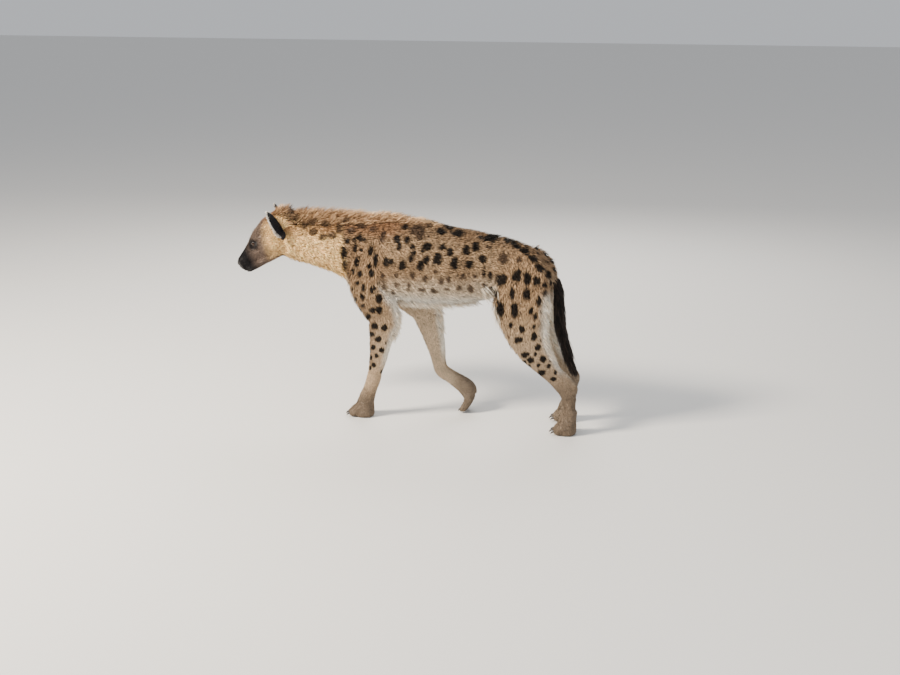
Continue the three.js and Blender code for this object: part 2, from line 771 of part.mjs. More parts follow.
// The origin goes to the floor, under the middle of the body's box.
const bounds = new THREE.Box3().setFromObject(body);
const middle = bounds.getCenter(new THREE.Vector3());
body.position.set(-middle.x, -middle.y, -bounds.min.z);

export default group;
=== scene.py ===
"""A life-size spotted hyena, walking with its head low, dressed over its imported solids."""

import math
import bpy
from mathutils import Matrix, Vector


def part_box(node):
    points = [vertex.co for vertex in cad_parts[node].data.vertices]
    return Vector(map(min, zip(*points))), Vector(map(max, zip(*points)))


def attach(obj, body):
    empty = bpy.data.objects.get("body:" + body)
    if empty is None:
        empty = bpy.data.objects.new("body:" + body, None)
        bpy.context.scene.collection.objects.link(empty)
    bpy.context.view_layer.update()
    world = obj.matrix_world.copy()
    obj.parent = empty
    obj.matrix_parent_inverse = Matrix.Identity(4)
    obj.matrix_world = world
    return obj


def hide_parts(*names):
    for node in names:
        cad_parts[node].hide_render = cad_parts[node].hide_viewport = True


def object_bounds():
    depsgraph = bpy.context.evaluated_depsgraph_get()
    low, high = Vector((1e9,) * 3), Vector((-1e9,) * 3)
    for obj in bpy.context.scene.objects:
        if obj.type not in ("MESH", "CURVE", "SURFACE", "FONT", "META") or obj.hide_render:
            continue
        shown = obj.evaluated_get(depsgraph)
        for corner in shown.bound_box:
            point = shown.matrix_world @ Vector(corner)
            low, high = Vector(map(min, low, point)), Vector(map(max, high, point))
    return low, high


bl_info = {
    "name": "Spotted hyena model",
    "version": (1, 0, 0),
    "blender": (4, 5, 0),
    "location": "3D View > Sidebar > Hyena",
    "description": "Skin, coat, mane, eyes, ears and claws of a walking spotted hyena",
    "category": "Object",
}

import bmesh
import bpy
import numpy as np
from mathutils import Matrix, Vector

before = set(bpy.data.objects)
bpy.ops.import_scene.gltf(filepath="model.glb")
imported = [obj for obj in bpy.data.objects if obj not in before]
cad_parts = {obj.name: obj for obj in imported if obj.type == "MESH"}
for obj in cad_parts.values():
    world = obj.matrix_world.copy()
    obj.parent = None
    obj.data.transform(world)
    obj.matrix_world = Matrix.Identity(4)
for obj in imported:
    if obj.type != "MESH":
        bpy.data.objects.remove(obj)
CAD_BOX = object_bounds()
MM = 0.001
LEFT, RIGHT = -1.0, 1.0

# Sizes shared with the solids, in millimetres
HEAD_SCALE = 270 / 284
HEAD_PITCH = 0.67
HEAD_YAW = -0.27
NOSE_TIP = (-686, -46, 557)
EYE_AT = (114, 39, 33)
EYE_RADIUS = 12.0
EAR_LENGTH = 108
EAR_HALF_WIDTH = 41
EAR_AT = (230, 70, 2)
EAR_LEAN = (0.14, 0.55, 1)
TOE_RADIUS = 14
TOE_SPREAD = (-30, -10.5, 10.5, 30)
TOE_REACH = (-10, 0, 0, -10)
FAR_HIND_AHEAD = 34


def curve(points, t):
    """Centripetal Catmull-Rom points at shares t of the rows."""
    p = np.asarray(points, float)
    p = np.vstack([2 * p[0] - p[1], p, 2 * p[-1] - p[-2]])
    s = np.clip(np.atleast_1d(t), 0, 1) * (len(p) - 3)
    i = np.minimum(s.astype(int), len(p) - 4)
    w = (s - i)[:, None]
    a, b, c, d = p[i], p[i + 1], p[i + 2], p[i + 3]
    gap = [np.sqrt(np.linalg.norm(v, axis=1))[:, None] for v in (b - a, c - b, d - c)]
    mid = np.where(gap[1] < 1e-4, 1, gap[1])
    before = np.where(gap[0] < 1e-4, mid, gap[0])
    after = np.where(gap[2] < 1e-4, mid, gap[2])
    m1 = ((b - a) / before - (c - a) / (before + mid) + (c - b) / mid) * mid
    m2 = ((c - b) / mid - (d - b) / (mid + after) + (d - c) / after) * mid
    return b + m1 * w + (3 * (c - b) - 2 * m1 - m2) * w**2 + (2 * (b - c) + m1 + m2) * w**3


def unit(v):
    return v / np.maximum(np.linalg.norm(v, axis=-1, keepdims=True), 1e-9)


class Loft:
    """A body of rounded sections along a smooth path, in the rows' own millimetres."""

    def __init__(self, rows, across=(0, 1, 0)):
        rows = [list(r) + [2] * (7 - len(r)) for r in rows]
        self.rows = np.array(rows, float)
        self.across = np.array(across, float)

    def frame(self, t):
        t = np.atleast_1d(t)
        at = curve(self.rows[:, :3], t)
        along = unit(curve(self.rows[:, :3], t + 1e-4) - curve(self.rows[:, :3], t - 1e-4))
        side = unit(self.across - along * (along @ self.across)[:, None])
        return at, along, side, np.cross(along, side)

    def point(self, t, angle, grow=0.0):
        at, _, side, up = self.frame(t)
        size = curve(self.rows[:, 3:6], t) + grow
        square = np.interp(t, np.linspace(0, 1, len(self.rows)), self.rows[:, 6])
        c, s = np.cos(angle), np.sin(angle)
        wide = size[:, 2] * np.sign(c) * np.abs(c) ** (2 / square)
        tall = np.where(s > 0, size[:, 0], size[:, 1]) * np.sign(s) * np.abs(s) ** (2 / square)
        return at + side * wide[:, None] + up * tall[:, None]


def trunk_row(x, top, bottom, half, square):
    """A section of the trunk from its top and bottom."""
    middle = bottom + (top - bottom) * 0.52
    return [x, 0, middle, top - middle, middle - bottom, half, square]


TRUNK = Loft([
    trunk_row(-266, 752, 566, 62, 2),
    trunk_row(-222, 780, 514, 90, 2.1),
    trunk_row(-150, 784, 466, 108, 2.15),
    trunk_row(-60, 780, 446, 119, 2.2),
    trunk_row(40, 769, 441, 124, 2.2),
    trunk_row(140, 753, 446, 122, 2.2),
    trunk_row(235, 741, 460, 113, 2.15),
    trunk_row(325, 728, 482, 102, 2.1),
    trunk_row(405, 709, 500, 99, 2.1),
    trunk_row(470, 680, 510, 92, 2),
    trunk_row(520, 642, 516, 74, 2),
    trunk_row(553, 602, 526, 46, 2),
    trunk_row(566, 578, 545, 18, 2),
])
NECK = Loft([
    [-548, 0, 668, 70, 70, 60, 2],
    [-500, 3, 676, 92, 86, 72, 2.1],
    [-440, 3, 672, 104, 92, 77, 2.1],
    [-370, 1, 664, 114, 99, 83, 2.1],
    [-290, 0, 655, 125, 110, 92, 2.1],
    [-222, 0, 645, 135, 126, 98, 2.1],
    [-150, 0, 640, 135, 120, 92, 2.1],
])
FORE_SIZES = [
    [42, 42, 20, 2], [66, 60, 34, 2.1], [76, 74, 44, 2.2], [74, 74, 47, 2.2], [70, 72, 45, 2.2],
    [70, 68, 40, 2.2], [53, 52, 35, 2.1], [42, 43, 31, 2.1], [33, 34, 27, 2.1], [27, 27, 26, 2.2],
    [28, 26, 28, 2.2], [25, 27, 26, 2.2], [29, 31, 31, 2.2],
]
HIND_SIZES = [
    [66, 66, 28, 2], [100, 94, 44, 2.1], [110, 106, 51, 2.2], [110, 110, 51, 2.2], [98, 98, 46, 2.2],
    [82, 82, 40, 2.1], [64, 68, 35, 2.1], [46, 48, 30, 2.1], [33, 34, 25, 2.1], [27, 30, 25, 2.2],
    [24, 26, 22, 2.2], [21, 23, 21, 2.2], [26, 28, 27, 2.2],
]
LEFT_FORE_AT = [
    [-88, 60, 715], [-112, 78, 655], [-136, 86, 585], [-138, 92, 520], [-105, 93, 460], [-78, 91, 408],
    [-84, 87, 350], [-93, 84, 290], [-104, 82, 230], [-117, 80, 182], [-124, 80, 155], [-137, 79, 112],
    [-152, 78, 74],
]
RIGHT_FORE_AT = [
    [-92, 60, 715], [-116, 78, 655], [-126, 86, 585], [-98, 92, 520], [-38, 93, 460], [28, 91, 408],
    [51, 88, 350], [71, 86, 290], [85, 85, 232], [92, 85, 190], [102, 85, 160], [138, 85, 138],
    [180, 85, 114],
]
HIND_AT = [
    [430, 46, 664], [446, 68, 606], [455, 78, 548], [457, 84, 488], [466, 87, 430], [482, 88, 374],
    [508, 87, 322], [548, 85, 268], [594, 83, 215], [634, 81, 166], [644, 80, 128], [645, 80, 96],
    [641, 80, 66],
]


def leg(places, sizes, side):
    return Loft([[x, side * y, z, *s] for (x, y, z), s in zip(places, sizes)])


def ahead(place):
    """A place of the near hind leg, moved forward for the far one, more towards the foot."""
    x, y, z = place
    return [x - FAR_HIND_AHEAD * min(1, max(0, 1 - z / 560)), y, z]


LEFT_FORE = leg(LEFT_FORE_AT, FORE_SIZES, LEFT)
RIGHT_FORE = leg(RIGHT_FORE_AT, FORE_SIZES, RIGHT)
LEFT_HIND = leg(HIND_AT, HIND_SIZES, LEFT)
RIGHT_HIND = leg([ahead(p) for p in HIND_AT], HIND_SIZES, RIGHT)
TAIL = Loft([
    [524, 0, 592, 20, 20, 19],
    [556, 0, 577, 20, 20, 19],
    [575, 0, 542, 17, 17, 17],
    [581, 0, 490, 15, 15, 15],
    [585, 0, 430, 13, 13, 14],
    [593, 0, 380, 12, 12, 13],
    [606, 0, 330, 10, 10, 11],
    [619, 0, 285, 7, 7, 8],
    [630, 0, 255, 3, 3, 4],
])


def hock(side, shift):
    rows = [
        [608, 83, 236, 15, 15, 13],
        [640, 82, 204, 16, 16, 14],
        [661, 81, 180, 15, 15, 14],
        [657, 81, 150, 14, 14, 13],
        [648, 81, 122, 10, 10, 10],
    ]
    return Loft([[x - shift, side * y, z, *s] for x, y, z, *s in rows])


HOCKS = (hock(LEFT, 0), hock(RIGHT, FAR_HIND_AHEAD * 0.66))


def head_row(x, top, bottom, half, square):
    """A section of the head from its top and bottom, brought to the head's size."""
    middle, reach = (top + bottom) / 2, (top - bottom) / 2
    k = HEAD_SCALE
    return [x * k, 0, middle * k, reach * k, reach * k, half * k, square]


SKULL = Loft([
    head_row(2, 16, -15, 19, 2.4),
    head_row(10, 23, -22, 27, 2.5),
    head_row(30, 30, -29, 36, 2.6),
    head_row(60, 39, -36, 41, 2.6),
    head_row(92, 50, -42, 46, 2.5),
    head_row(118, 62, -48, 57, 2.4),
    head_row(142, 75, -56, 73, 2.3),
    head_row(172, 85, -66, 86, 2.2),
    head_row(204, 90, -73, 91, 2.15),
    head_row(238, 89, -76, 86, 2.1),
    head_row(272, 80, -74, 76, 2.1),
    head_row(306, 62, -66, 62, 2),
])
JAW = Loft([
    head_row(16, -18, -38, 16, 2.2),
    head_row(24, -16, -46, 26, 2.3),
    head_row(50, -16, -53, 33, 2.3),
    head_row(90, -20, -60, 39, 2.2),
    head_row(130, -24, -68, 50, 2.2),
    head_row(170, -20, -76, 58, 2.1),
])
MOUTH_LINE = [(8, 0, -28), (14, 14, -31), (30, 30, -37), (60, 40, -42.5), (92, 46, -47), (112, 49, -46)]
GAZE = unit(np.array([-0.72, 0.68, 0.1]))
EYE_LONG = unit(np.array([0.68, 0.72, -0.12]))


def face_forms(side):
    """Brow, cheek bone and lip of one side, in the head's own millimetres."""
    x, y, z = EYE_AT
    rows = [
        ([
            [x - 12, y - 20, z + 12, 6, 6, 8],
            [x - 4, y - 2, z + 17, 8, 8, 10],
            [x + 14, y + 14, z + 18, 9, 9, 10],
            [x + 34, y + 22, z + 12, 6, 6, 8],
        ], (0, 0, 1)),
        ([
            [x + 6, y + 6, z - 24, 8, 8, 8],
            [x + 30, y + 24, z - 24, 14, 14, 12],
            [x + 66, y + 38, z - 20, 18, 18, 12],
            [x + 104, y + 34, z - 12, 12, 12, 10],
        ], (0, 1, 0)),
        ([
            [14, 12, -22, 6, 9, 8],
            [30, 25, -28, 9, 11, 9],
            [60, 33, -33, 10, 11, 8],
            [90, 38, -37, 9, 10, 8],
            [116, 43, -40, 6, 6, 7],
        ], (0, 1, 0)),
    ]
    return [Loft([[a, side * b, c, *s] for a, b, c, *s in part], across) for part, across in rows]


# The head's own frame, and the shift that puts the body's box over the origin
HEAD_TURN = (
    Matrix.Translation(NOSE_TIP) @ Matrix.Rotation(-HEAD_YAW, 4, "Z") @ Matrix.Rotation(-HEAD_PITCH, 4, "Y"))


def body_shift():
    """What moves the body to its place, read from where the solids have the eye."""
    low, high = (np.array(v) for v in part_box("eye_left"))
    eye = HEAD_TURN @ Vector((EYE_AT[0], -EYE_AT[1], EYE_AT[2]))
    shift = (low + high) / 2 / MM - np.array(eye)
    shift[2] = 0
    return shift


SHIFT = body_shift()


def to_world(points):
    """Metres in the row frame, from the body's millimetres."""
    return (np.asarray(points) + SHIFT) * MM


def head_to_body(points):
    m = np.array(HEAD_TURN)
    return np.asarray(points) @ m[:3, :3].T + m[:3, 3]


def body_to_head(points):
    m = np.array(HEAD_TURN)
    return (np.asarray(points) - m[:3, 3]) @ m[:3, :3]


def head_dir(v):
    return np.asarray(v) @ np.array(HEAD_TURN)[:3, :3].T


# Paws: the block and toes, and where each claw leaves its toe
def flat_paw(x, y, reach):
    """A planted paw, whose toes reach forward of x."""
    forms = [Loft([
        [x + 12, y, 96, 24, 26, 26, 2.2],
        [x + 4, y, 66, 29, 31, 31, 2.2],
        [x - 4, y, 38, 38, 34, 37, 2.3],
        [x - 6, y, 12, 38, 34, 38, 2.3],
        [x - 6, y, 1, 36, 32, 36, 2.3],
    ])]
    claws = []
    r = TOE_RADIUS
    for spread, short in zip(TOE_SPREAD, TOE_REACH):
        tip = x - reach - short
        forms.append(Loft([
            [x - 12, y + spread * 0.8, 32, r, r, r - 1],
            [tip + 30, y + spread * 0.96, 36, r + 1, r + 1, r],
            [tip + 12, y + spread * 1.04, 25, r, r, r - 1],
            [tip, y + spread * 1.08, 13, r - 3, r - 2, r - 4],
            [tip - 5, y + spread * 1.08, 9, 5, 5, 6],
        ]))
        claws.append([
            [tip - 1, y + spread * 1.08, 17],
            [tip - 14, y + spread * 1.1, 13],
            [tip - 21, y + spread * 1.1, 5],
        ])
    return forms, claws


def lifted_paw(y):
    """The paw that is lifting, still on the tips of its toes."""
    forms = [Loft([
        [150, y, 131, 26, 28, 27, 2.2],
        [182, y, 113, 29, 31, 31, 2.2],
        [208, y, 92, 32, 33, 36, 2.3],
        [219, y, 66, 27, 28, 35, 2.3],
    ])]
    claws = []
    r = TOE_RADIUS
    for spread, reach in zip(TOE_SPREAD, TOE_REACH):
        short = -reach * 0.35
        forms.append(Loft([
            [210, y + spread * 0.8, 84, r, r, r - 1],
            [217, y + spread * 0.94, 60 + short, r + 1, r + 1, r],
            [210, y + spread * 1.02, 34 + short, r, r, r - 1],
            [197, y + spread * 1.06, 13 + short, r - 3, r - 1, r - 3],
            [190, y + spread * 1.06, 5 + short, 6, 6, 6],
        ]))
        claws.append([
            [196, y + spread * 1.06, 16 + short],
            [184, y + spread * 1.08, 12 + short],
            [178, y + spread * 1.08, 4 + short],
        ])
    return forms, claws


PAWS = [
    flat_paw(-158, LEFT * 79, 57),
    lifted_paw(RIGHT * 85),
    flat_paw(640, LEFT * 80, 47),
    flat_paw(640 - FAR_HIND_AHEAD, RIGHT * 80, 47),
]

# Regions of the coat
HEAD, NAPE, BARREL, FORE, HIND, PAW, BRUSH = range(7)

# Millimetres of the tufts from the start of a path to its end: length, skin's depth under the coat, width
FACE_COAT = ([5, 7, 10, 15, 20, 24], [1, 1.5, 2.5, 4, 6, 8], [2, 2.2, 2.6, 3.2, 4, 4.5])
CHIN_COAT = ([5, 7, 14], [1, 1.5, 4], [2, 2.4, 3.4])
NECK_COAT = ([24, 30, 32], [8, 10, 10], [4.4, 5.2, 5.6])
TRUNK_COAT = ([30, 30, 28, 28, 26, 22], [10] * 6, [4.8, 4.8, 4.7, 4.6, 4.5, 4.2])
LEG_COAT = (
    [26, 26, 26, 24, 20, 16, 13, 11, 10, 9, 8],
    [9, 9, 9, 8, 6.5, 5, 4, 3, 2.6, 2.2, 2],
    [5.4, 5.4, 5.2, 5, 4.4, 3.8, 3.3, 3, 2.8, 2.6, 2.4],
)
HOCK_COAT = ([11, 9], [3, 2.5], [3, 2.7])
PAW_COAT = ([7, 6], [1.4, 1.1], [3, 2.7])
TAIL_COAT = ([18, 20, 16, 10, 6], [5, 5, 3, 1, 0.5], [4, 4, 4, 3, 3])
TRUNK_LIE = [(1, 0, -0.3)] * 6 + [(0.9, 0, -0.6), (0.5, 0, -1), (0.1, 0, -1)]


def samples():
    """Rows of what is near each part of a path: place, reach, lie of the hair, its three sizes and region."""
    rows = []

    def add(loft, region, coat, lie=None, count=36, head=False):
        t = (np.arange(count) + 0.5) / count
        at, way, _, _ = loft.frame(t)
        reach = curve(loft.rows[:, 3:6], t).mean(axis=1)
        if lie is not None:
            lies = np.atleast_2d(np.array(lie, float))
            shares = np.linspace(0, 1, len(lies))
            way = unit(np.stack([np.interp(t, shares, lies[:, i]) for i in range(3)], 1))
        if head:
            at, way = head_to_body(at), head_dir(way)
        hair = [np.interp(t, np.linspace(0, 1, len(sizes)), sizes) for sizes in coat]
        rows.append(np.column_stack([at, reach, way, *hair, np.full(count, region)]))

    add(SKULL, HEAD, FACE_COAT, (1, 0, -0.1), head=True)
    add(JAW, HEAD, CHIN_COAT, (1, 0, -0.35), 20, head=True)
    add(NECK, NAPE, NECK_COAT, (1, 0, -0.22))
    add(TRUNK, BARREL, TRUNK_COAT, TRUNK_LIE, 60)
    for loft in (LEFT_FORE, RIGHT_FORE):
        add(loft, FORE, LEG_COAT, None, 50)
    for loft in (LEFT_HIND, RIGHT_HIND):
        add(loft, HIND, LEG_COAT, None, 50)
    for forms, _ in PAWS:
        for form in forms:
            add(form, PAW, PAW_COAT, None, 8)
    for loft in HOCKS:
        add(loft, HIND, HOCK_COAT, None, 8)
    add(TAIL, BRUSH, TAIL_COAT, None, 30)
    return np.concatenate(rows)


def nearest_sample(points, places, reach=1.0, block=8000):
    """Index of the place that is nearest to each point, measured in its own reach."""
    best = np.empty(len(points), int)
    for start in range(0, len(points), block):
        part = slice(start, start + block)
        distance = np.linalg.norm(points[part][:, None, :] - places[None], axis=2) / reach
        best[part] = distance.argmin(axis=1)
    return best


def smoothed(values, edges, rounds):
    """Values at vertices, evened out with their neighbours'."""
    a, b = edges[:, 0], edges[:, 1]
    n = len(values)
    degree = np.bincount(a, minlength=n) + np.bincount(b, minlength=n) + 1.0
    out = values.astype(float).copy()
    for _ in range(rounds):
        for c in range(out.shape[1]):
            col = out[:, c]
            out[:, c] = (col + np.bincount(a, col[b], n) + np.bincount(b, col[a], n)) / degree
    return out


def step(low, high, value):
    """A smooth change from 0 at low to 1 at high, whichever of them is the larger."""
    x = np.clip((value - low) / (high - low), 0, 1)
    return x * x * (3 - 2 * x)


def bell(distance, width):
    return np.exp(-((distance / width) ** 2))


def along_skin(way, normal):
    """The direction nearest to way that lies flat on the skin."""
    return unit(way - normal * (way * normal).sum(1)[:, None])


HASH_STEPS = (374761393, 668265263, 2147483647)
HASH_MIX = 1274126177
HASH_MASK = 0x7FFFFFFF
HASH_LEVELS = 65521


def value_noise(points, scale, seed):
    """Smooth seeded noise from 0 to 1 over points, with cells of scale millimetres."""
    p = points / scale
    cell = np.floor(p).astype(np.int64)
    f = p - cell
    f = f * f * (3 - 2 * f)
    total = np.zeros(len(points))
    for corner in range(8):
        bits = np.array([corner & 1, corner >> 1 & 1, corner >> 2 & 1])
        h = (cell + bits) @ np.array(HASH_STEPS) + seed * HASH_MIX
        h = (h ^ (h >> 13)) * HASH_MIX & HASH_MASK
        total += np.prod(np.where(bits, f, 1 - f), axis=1) * (h % HASH_LEVELS) / HASH_LEVELS
    return total


# The photo's view, from a little above and turned to the rear, with the lens and places in its pixels
PHOTO_WIDTH = 900
PHOTO_MIDDLE = (450, 337.5)
FILM_WIDTH = 36
VIEW_PITCH = math.radians(15)
VIEW_YAW = math.radians(16)
VIEW_AWAY = 5200.0
VIEW_LENS = 1350.0
VIEW_AIM = np.array([0.0, 0.0, 375.0])
VIEW_AIM_AT = (410, 320)


def view_axes():
    """Place of the camera in the body's millimetres, and its directions right, up and forward."""
    sin, cos = math.sin(VIEW_YAW), math.cos(VIEW_YAW)
    forward = np.array([-sin * math.cos(VIEW_PITCH), cos * math.cos(VIEW_PITCH), -math.sin(VIEW_PITCH)])
    right = np.array([cos, sin, 0.0])
    up = np.cross(right, forward)
    over, down = (
        (aim - middle) / VIEW_LENS * VIEW_AWAY for aim, middle in zip(VIEW_AIM_AT, PHOTO_MIDDLE))
    return VIEW_AIM - forward * VIEW_AWAY - right * over + up * down, right, up, forward


# Marks of the near side, as they lie in the photo's view: across, down, half width, half height
DARK_MARKS = [
    (395, 239, 3.5, 3.5), (398, 246, 2.4, 4.7), (405, 241, 2.8, 4), (405, 226, 3.5, 2.4),
    (412, 245, 2.2, 2.4), (413, 254, 2.5, 2.6), (410, 259, 2.5, 3.5), (402, 267, 3.5, 5),
    (391, 263, 2.8, 2.8), (385, 262, 2.4, 4.4), (419, 266, 3.8, 4.7), (425, 260, 3.1, 4.4),
    (426, 247, 4.4, 3.9), (421, 250, 2.2, 2.2), (441, 247, 3.5, 3.1), (450, 251, 3.5, 3.9),
    (435, 259, 4.4, 6), (452, 263, 4.4, 6), (464, 250, 4.1, 4.7), (474, 246, 4.1, 4.1),
    (467, 264, 4.1, 4.4), (482, 258, 3.8, 3.5), (441, 231, 5.7, 3.1), (458, 233, 6, 3.8),
    (450, 227, 4.7, 2.2), (430, 225, 3.1, 1.9), (491, 237, 7, 3.5), (513, 237, 3.1, 1.9),
    (500, 280, 5.3, 6.6), (516, 276, 4.4, 6), (527, 277, 4.1, 6.3), (538, 280, 3.5, 4.4),
    (549, 275, 3, 4), (483, 274, 1.6, 5.5), (490, 277, 1.9, 4.7), (527, 296, 3.5, 5.5),
    (511, 294, 2.4, 5.5), (500, 310, 3.1, 7), (514, 311, 3.5, 7.9), (495, 292, 2.4, 3.9),
    (540, 303, 2.4, 4.7), (346, 241, 2.8, 2.8), (359, 237, 3.5, 3.5), (364, 240, 2.4, 2.4),
    (353, 241, 2, 2), (343, 255, 3, 6), (345, 266, 2, 6), (356, 261, 2.8, 5.5), (368, 266, 2.4, 2.4),
    (376, 261, 2.4, 6.3), (370, 250, 2.5, 5), (362, 288, 1.9, 3.9), (356, 282, 2, 2),
    (371, 292, 2.2, 3.1), (376, 288, 2, 2), (372, 274, 2.4, 3.5), (379, 301, 2.8, 4.7),
    (362, 298, 2.2, 3.5), (362, 306, 2.2, 2.2), (371, 311, 2.8, 2.8), (379, 311, 3.1, 3.9),
    (368, 317, 2.8, 3.2), (374, 326, 3.2, 3.6), (383, 328, 3, 3), (377, 340, 3.2, 3), (381, 351, 3, 3),
    (371, 334, 2.6, 2.8), (372, 347, 2.2, 2.6), (376, 357, 2.2, 2.2), (373, 365, 2, 2.4),
    (388, 344, 1.8, 2), (518, 341, 3.6, 3.4), (510, 326, 2.4, 3), (522, 330, 2.8, 3.2),
    (533, 338, 3, 4.4), (524, 355, 3.4, 3), (537, 348, 2.9, 3.1), (530, 360, 3.4, 3.2), (542, 360, 3, 3),
    (541, 373, 3.4, 3.2), (552, 380, 2.6, 2.4),
]
FADED_MARKS = [
    (417, 230, 7, 4.7), (419, 236, 4, 4), (503, 257, 5, 5), (448, 281, 2.5, 2.5), (458, 288, 3.5, 2.5),
    (441, 282, 2.8, 3.5), (462, 277, 2.8, 2.8), (475, 277, 1.9, 1.9), (425, 279, 2.4, 3.9),
    (412, 277, 2.4, 3.5), (408, 288, 1.9, 4.7), (470, 289, 3.5, 3), (484, 288, 1.9, 3.1),
    (382, 237, 3.1, 6), (291, 216, 3, 4.4), (296, 220, 4.2, 3.6), (303, 225, 4.6, 3), (312, 232, 5, 3.2),
    (321, 237, 4.4, 2.8), (331, 235, 4.6, 3.4), (339, 228, 3.6, 4.6), (325, 224, 4.2, 2.6),
    (350, 230, 4, 3.4), (313, 222, 4.4, 2.4), (361, 226, 4.4, 2.6), (372, 229, 4, 2.8),
    (345, 221, 4, 2.2),
]
RUMP_STREAK = [
    (507, 240), (512, 243), (517, 246), (522, 249), (527, 252),
    (531, 256), (535, 260), (539, 265), (542, 270),
]
STREAK_HALF = (3.8, 2.4)
MARK_GROWTH = 1.1
MARK_TRIES = 30000


def photo_marks(points, normals):
    """The marks of the photo laid on the near side and, a little moved, on the far side.

    A mark is its middle, two directions, its half sizes along them, and whether it is dark.
    """
    at, right, up, forward = view_axes()
    rel = points - at
    deep = rel @ forward
    across = PHOTO_MIDDLE[0] + VIEW_LENS * (rel @ right) / deep
    down = PHOTO_MIDDLE[1] - VIEW_LENS * (rel @ up) / deep
    facing = np.flatnonzero((normals @ forward < -0.05) & (points[:, 1] < 12))
    rng = np.random.default_rng(17)
    mirrored = np.array([1, -1, 1])
    marks = []
    rows = [(mark, True) for mark in DARK_MARKS + [(x, y, *STREAK_HALF) for x, y in RUMP_STREAK]]
    rows += [(mark, False) for mark in FADED_MARKS]
    for (x, y, wide, tall), is_dark in rows:
        off = np.hypot(across[facing] - x, down[facing] - y)
        close = facing[off < off.min() + 1.5]
        middle = points[close[deep[close].argmin()]]
        size = np.array([wide, tall]) * deep[close].min() / VIEW_LENS * MARK_GROWTH
        marks.append((middle, right, up, size, is_dark))
        moved = middle * mirrored + rng.normal(0, [11, 2, 8])
        marks.append((moved, right * mirrored, up * mirrored, size * rng.uniform(0.85, 1.1, 2), is_dark))
    return marks


def takes_marks(point, normal, region):
    """Whether the coat is spotted here, which head, nape, belly, ridge, shins and inner legs are not."""
    x, y, z = point
    if region in (HEAD, BRUSH, PAW, NAPE) or x < -235:
        return False
    if region == BARREL:
        ridge = (x < 60 and z > 735) or (z > 715 and normal[2] > 0.9)
        return not (ridge or normal[2] < -0.45)
    shin = z < (185 if region == FORE else 235)
    inner = normal[1] * y < 0 and z < 520
    behind = region == HIND and normal[0] > 0.75
    return not (shin or inner or behind)


def seeded_marks(points, normals, region, marks):
    """Marks between those of the photo, wherever the coat is spotted."""
    rng = np.random.default_rng(41)
    middles = [mark[0] for mark in marks]
    reach = [float(mark[3].max()) for mark in marks]
    made = []
    for i in rng.permutation(len(points))[:MARK_TRIES]:
        p, n, limb = points[i], normals[i], region[i] in (FORE, HIND)
        if not takes_marks(p, n, region[i]):
            continue
        in_photo = p[1] < -40 and -150 < p[0] < 500 and p[2] > 300
        size = (9.0 if limb and p[2] < 430 else 10.5) * rng.uniform(0.75, 1.2)
        space = size * (3.4 if in_photo else 2.1)
        gap = np.linalg.norm(np.array(middles) - p, axis=1) - np.array(reach) * 0.8
        if gap.min() < space:
            continue
        middles.append(p)
        reach.append(size)
        long = np.array([0.1, 0, 1.0]) if p[0] < 20 or limb else np.array([1.0, 0, -0.15])
        long = unit(long - n * (long @ n))
        stretch = rng.uniform(1.0, 1.6)
        half = np.array([size * stretch, size])
        made.append((p, long, np.cross(n, long), half, not in_photo))
    return made


def spot_mask(points, marks):
    """How far each point lies in a dark and in a faded mark, from 0 to 1, with ragged edges."""
    ragged = (value_noise(points, 10, 5) - 0.5) * 0.6 + (value_noise(points, 4.2, 9) - 0.5) * 0.3
    dark, faded = np.zeros(len(points)), np.zeros(len(points))
    order = np.argsort(points[:, 0])
    xs = points[order, 0]
    for middle, one, two, half, is_dark in marks:
        reach = float(half.max()) * 2.2
        first, last = np.searchsorted(xs, [middle[0] - reach, middle[0] + reach])
        at = order[first:last]
        d = points[at] - middle
        outside = np.abs(d).max(1) > reach
        share = np.hypot(d @ one / half[0], d @ two / half[1]) + ragged[at] + outside * 9
        kept = dark if is_dark else faded
        kept[at] = np.maximum(kept[at], 1 - step(0.82, 1.18, share))
    return dark, faded


# Colours of the coat, as light reflects from it, and where each lies
COAT_COLOURS = {
    "buff": ((0.46, 0.305, 0.175), "Flanks and legs"),
    "back": ((0.25, 0.15, 0.08), "Darker wash of the back and the shoulders"),
    "pale": ((0.74, 0.59, 0.42), "Low on the flanks, and inside the legs"),
    "white": ((0.96, 0.88, 0.76), "Belly, and the back of the thighs"),
    "cream": ((1.0, 0.66, 0.30), "Throat and cheeks"),
    "russet": ((0.22, 0.10, 0.045), "Nape and mane"),
    "mane_tip": ((0.9, 0.60, 0.33), "Tips of the mane"),
    "spot": ((0.009, 0.007, 0.006), "Dark marks"),
    "faded": ((0.055, 0.033, 0.022), "Brown marks"),
    "face": ((0.19, 0.135, 0.105), "Forehead and bridge of the nose"),
    "muzzle": ((0.012, 0.0105, 0.012), "Muzzle, and round the eyes"),
    "foot": ((0.15, 0.112, 0.082), "Paws and shins"),
    "black": ((0.007, 0.006, 0.006), "Brush of the tail, lips and lids"),
    "ear_back": ((0.02, 0.02, 0.024), "Back of the ears"),
}


# Colours of the small pieces
BRUSH_LIGHT = (0.05, 0.035, 0.027)
PUPIL = (0.004, 0.004, 0.004)
IRIS = (0.032, 0.014, 0.007)
EYE_WHITE = (0.016, 0.008, 0.005)
EAR_SKIN = (0.20, 0.14, 0.11)
EAR_INSIDE = (0.32, 0.25, 0.2)
EAR_RIM = (0.82, 0.78, 0.72)
HORN = (0.035, 0.03, 0.027)
HORN_TIP = (0.16, 0.13, 0.10)


def tone(name):
    """One of the coat's colours, as the settings have it."""
    return np.array(getattr(settings(), name))


def mix(a, b, w):
    """Colours between a and b, a row for each share in w."""
    return np.asarray(a) * (1 - w[:, None]) + np.asarray(b) * w[:, None]


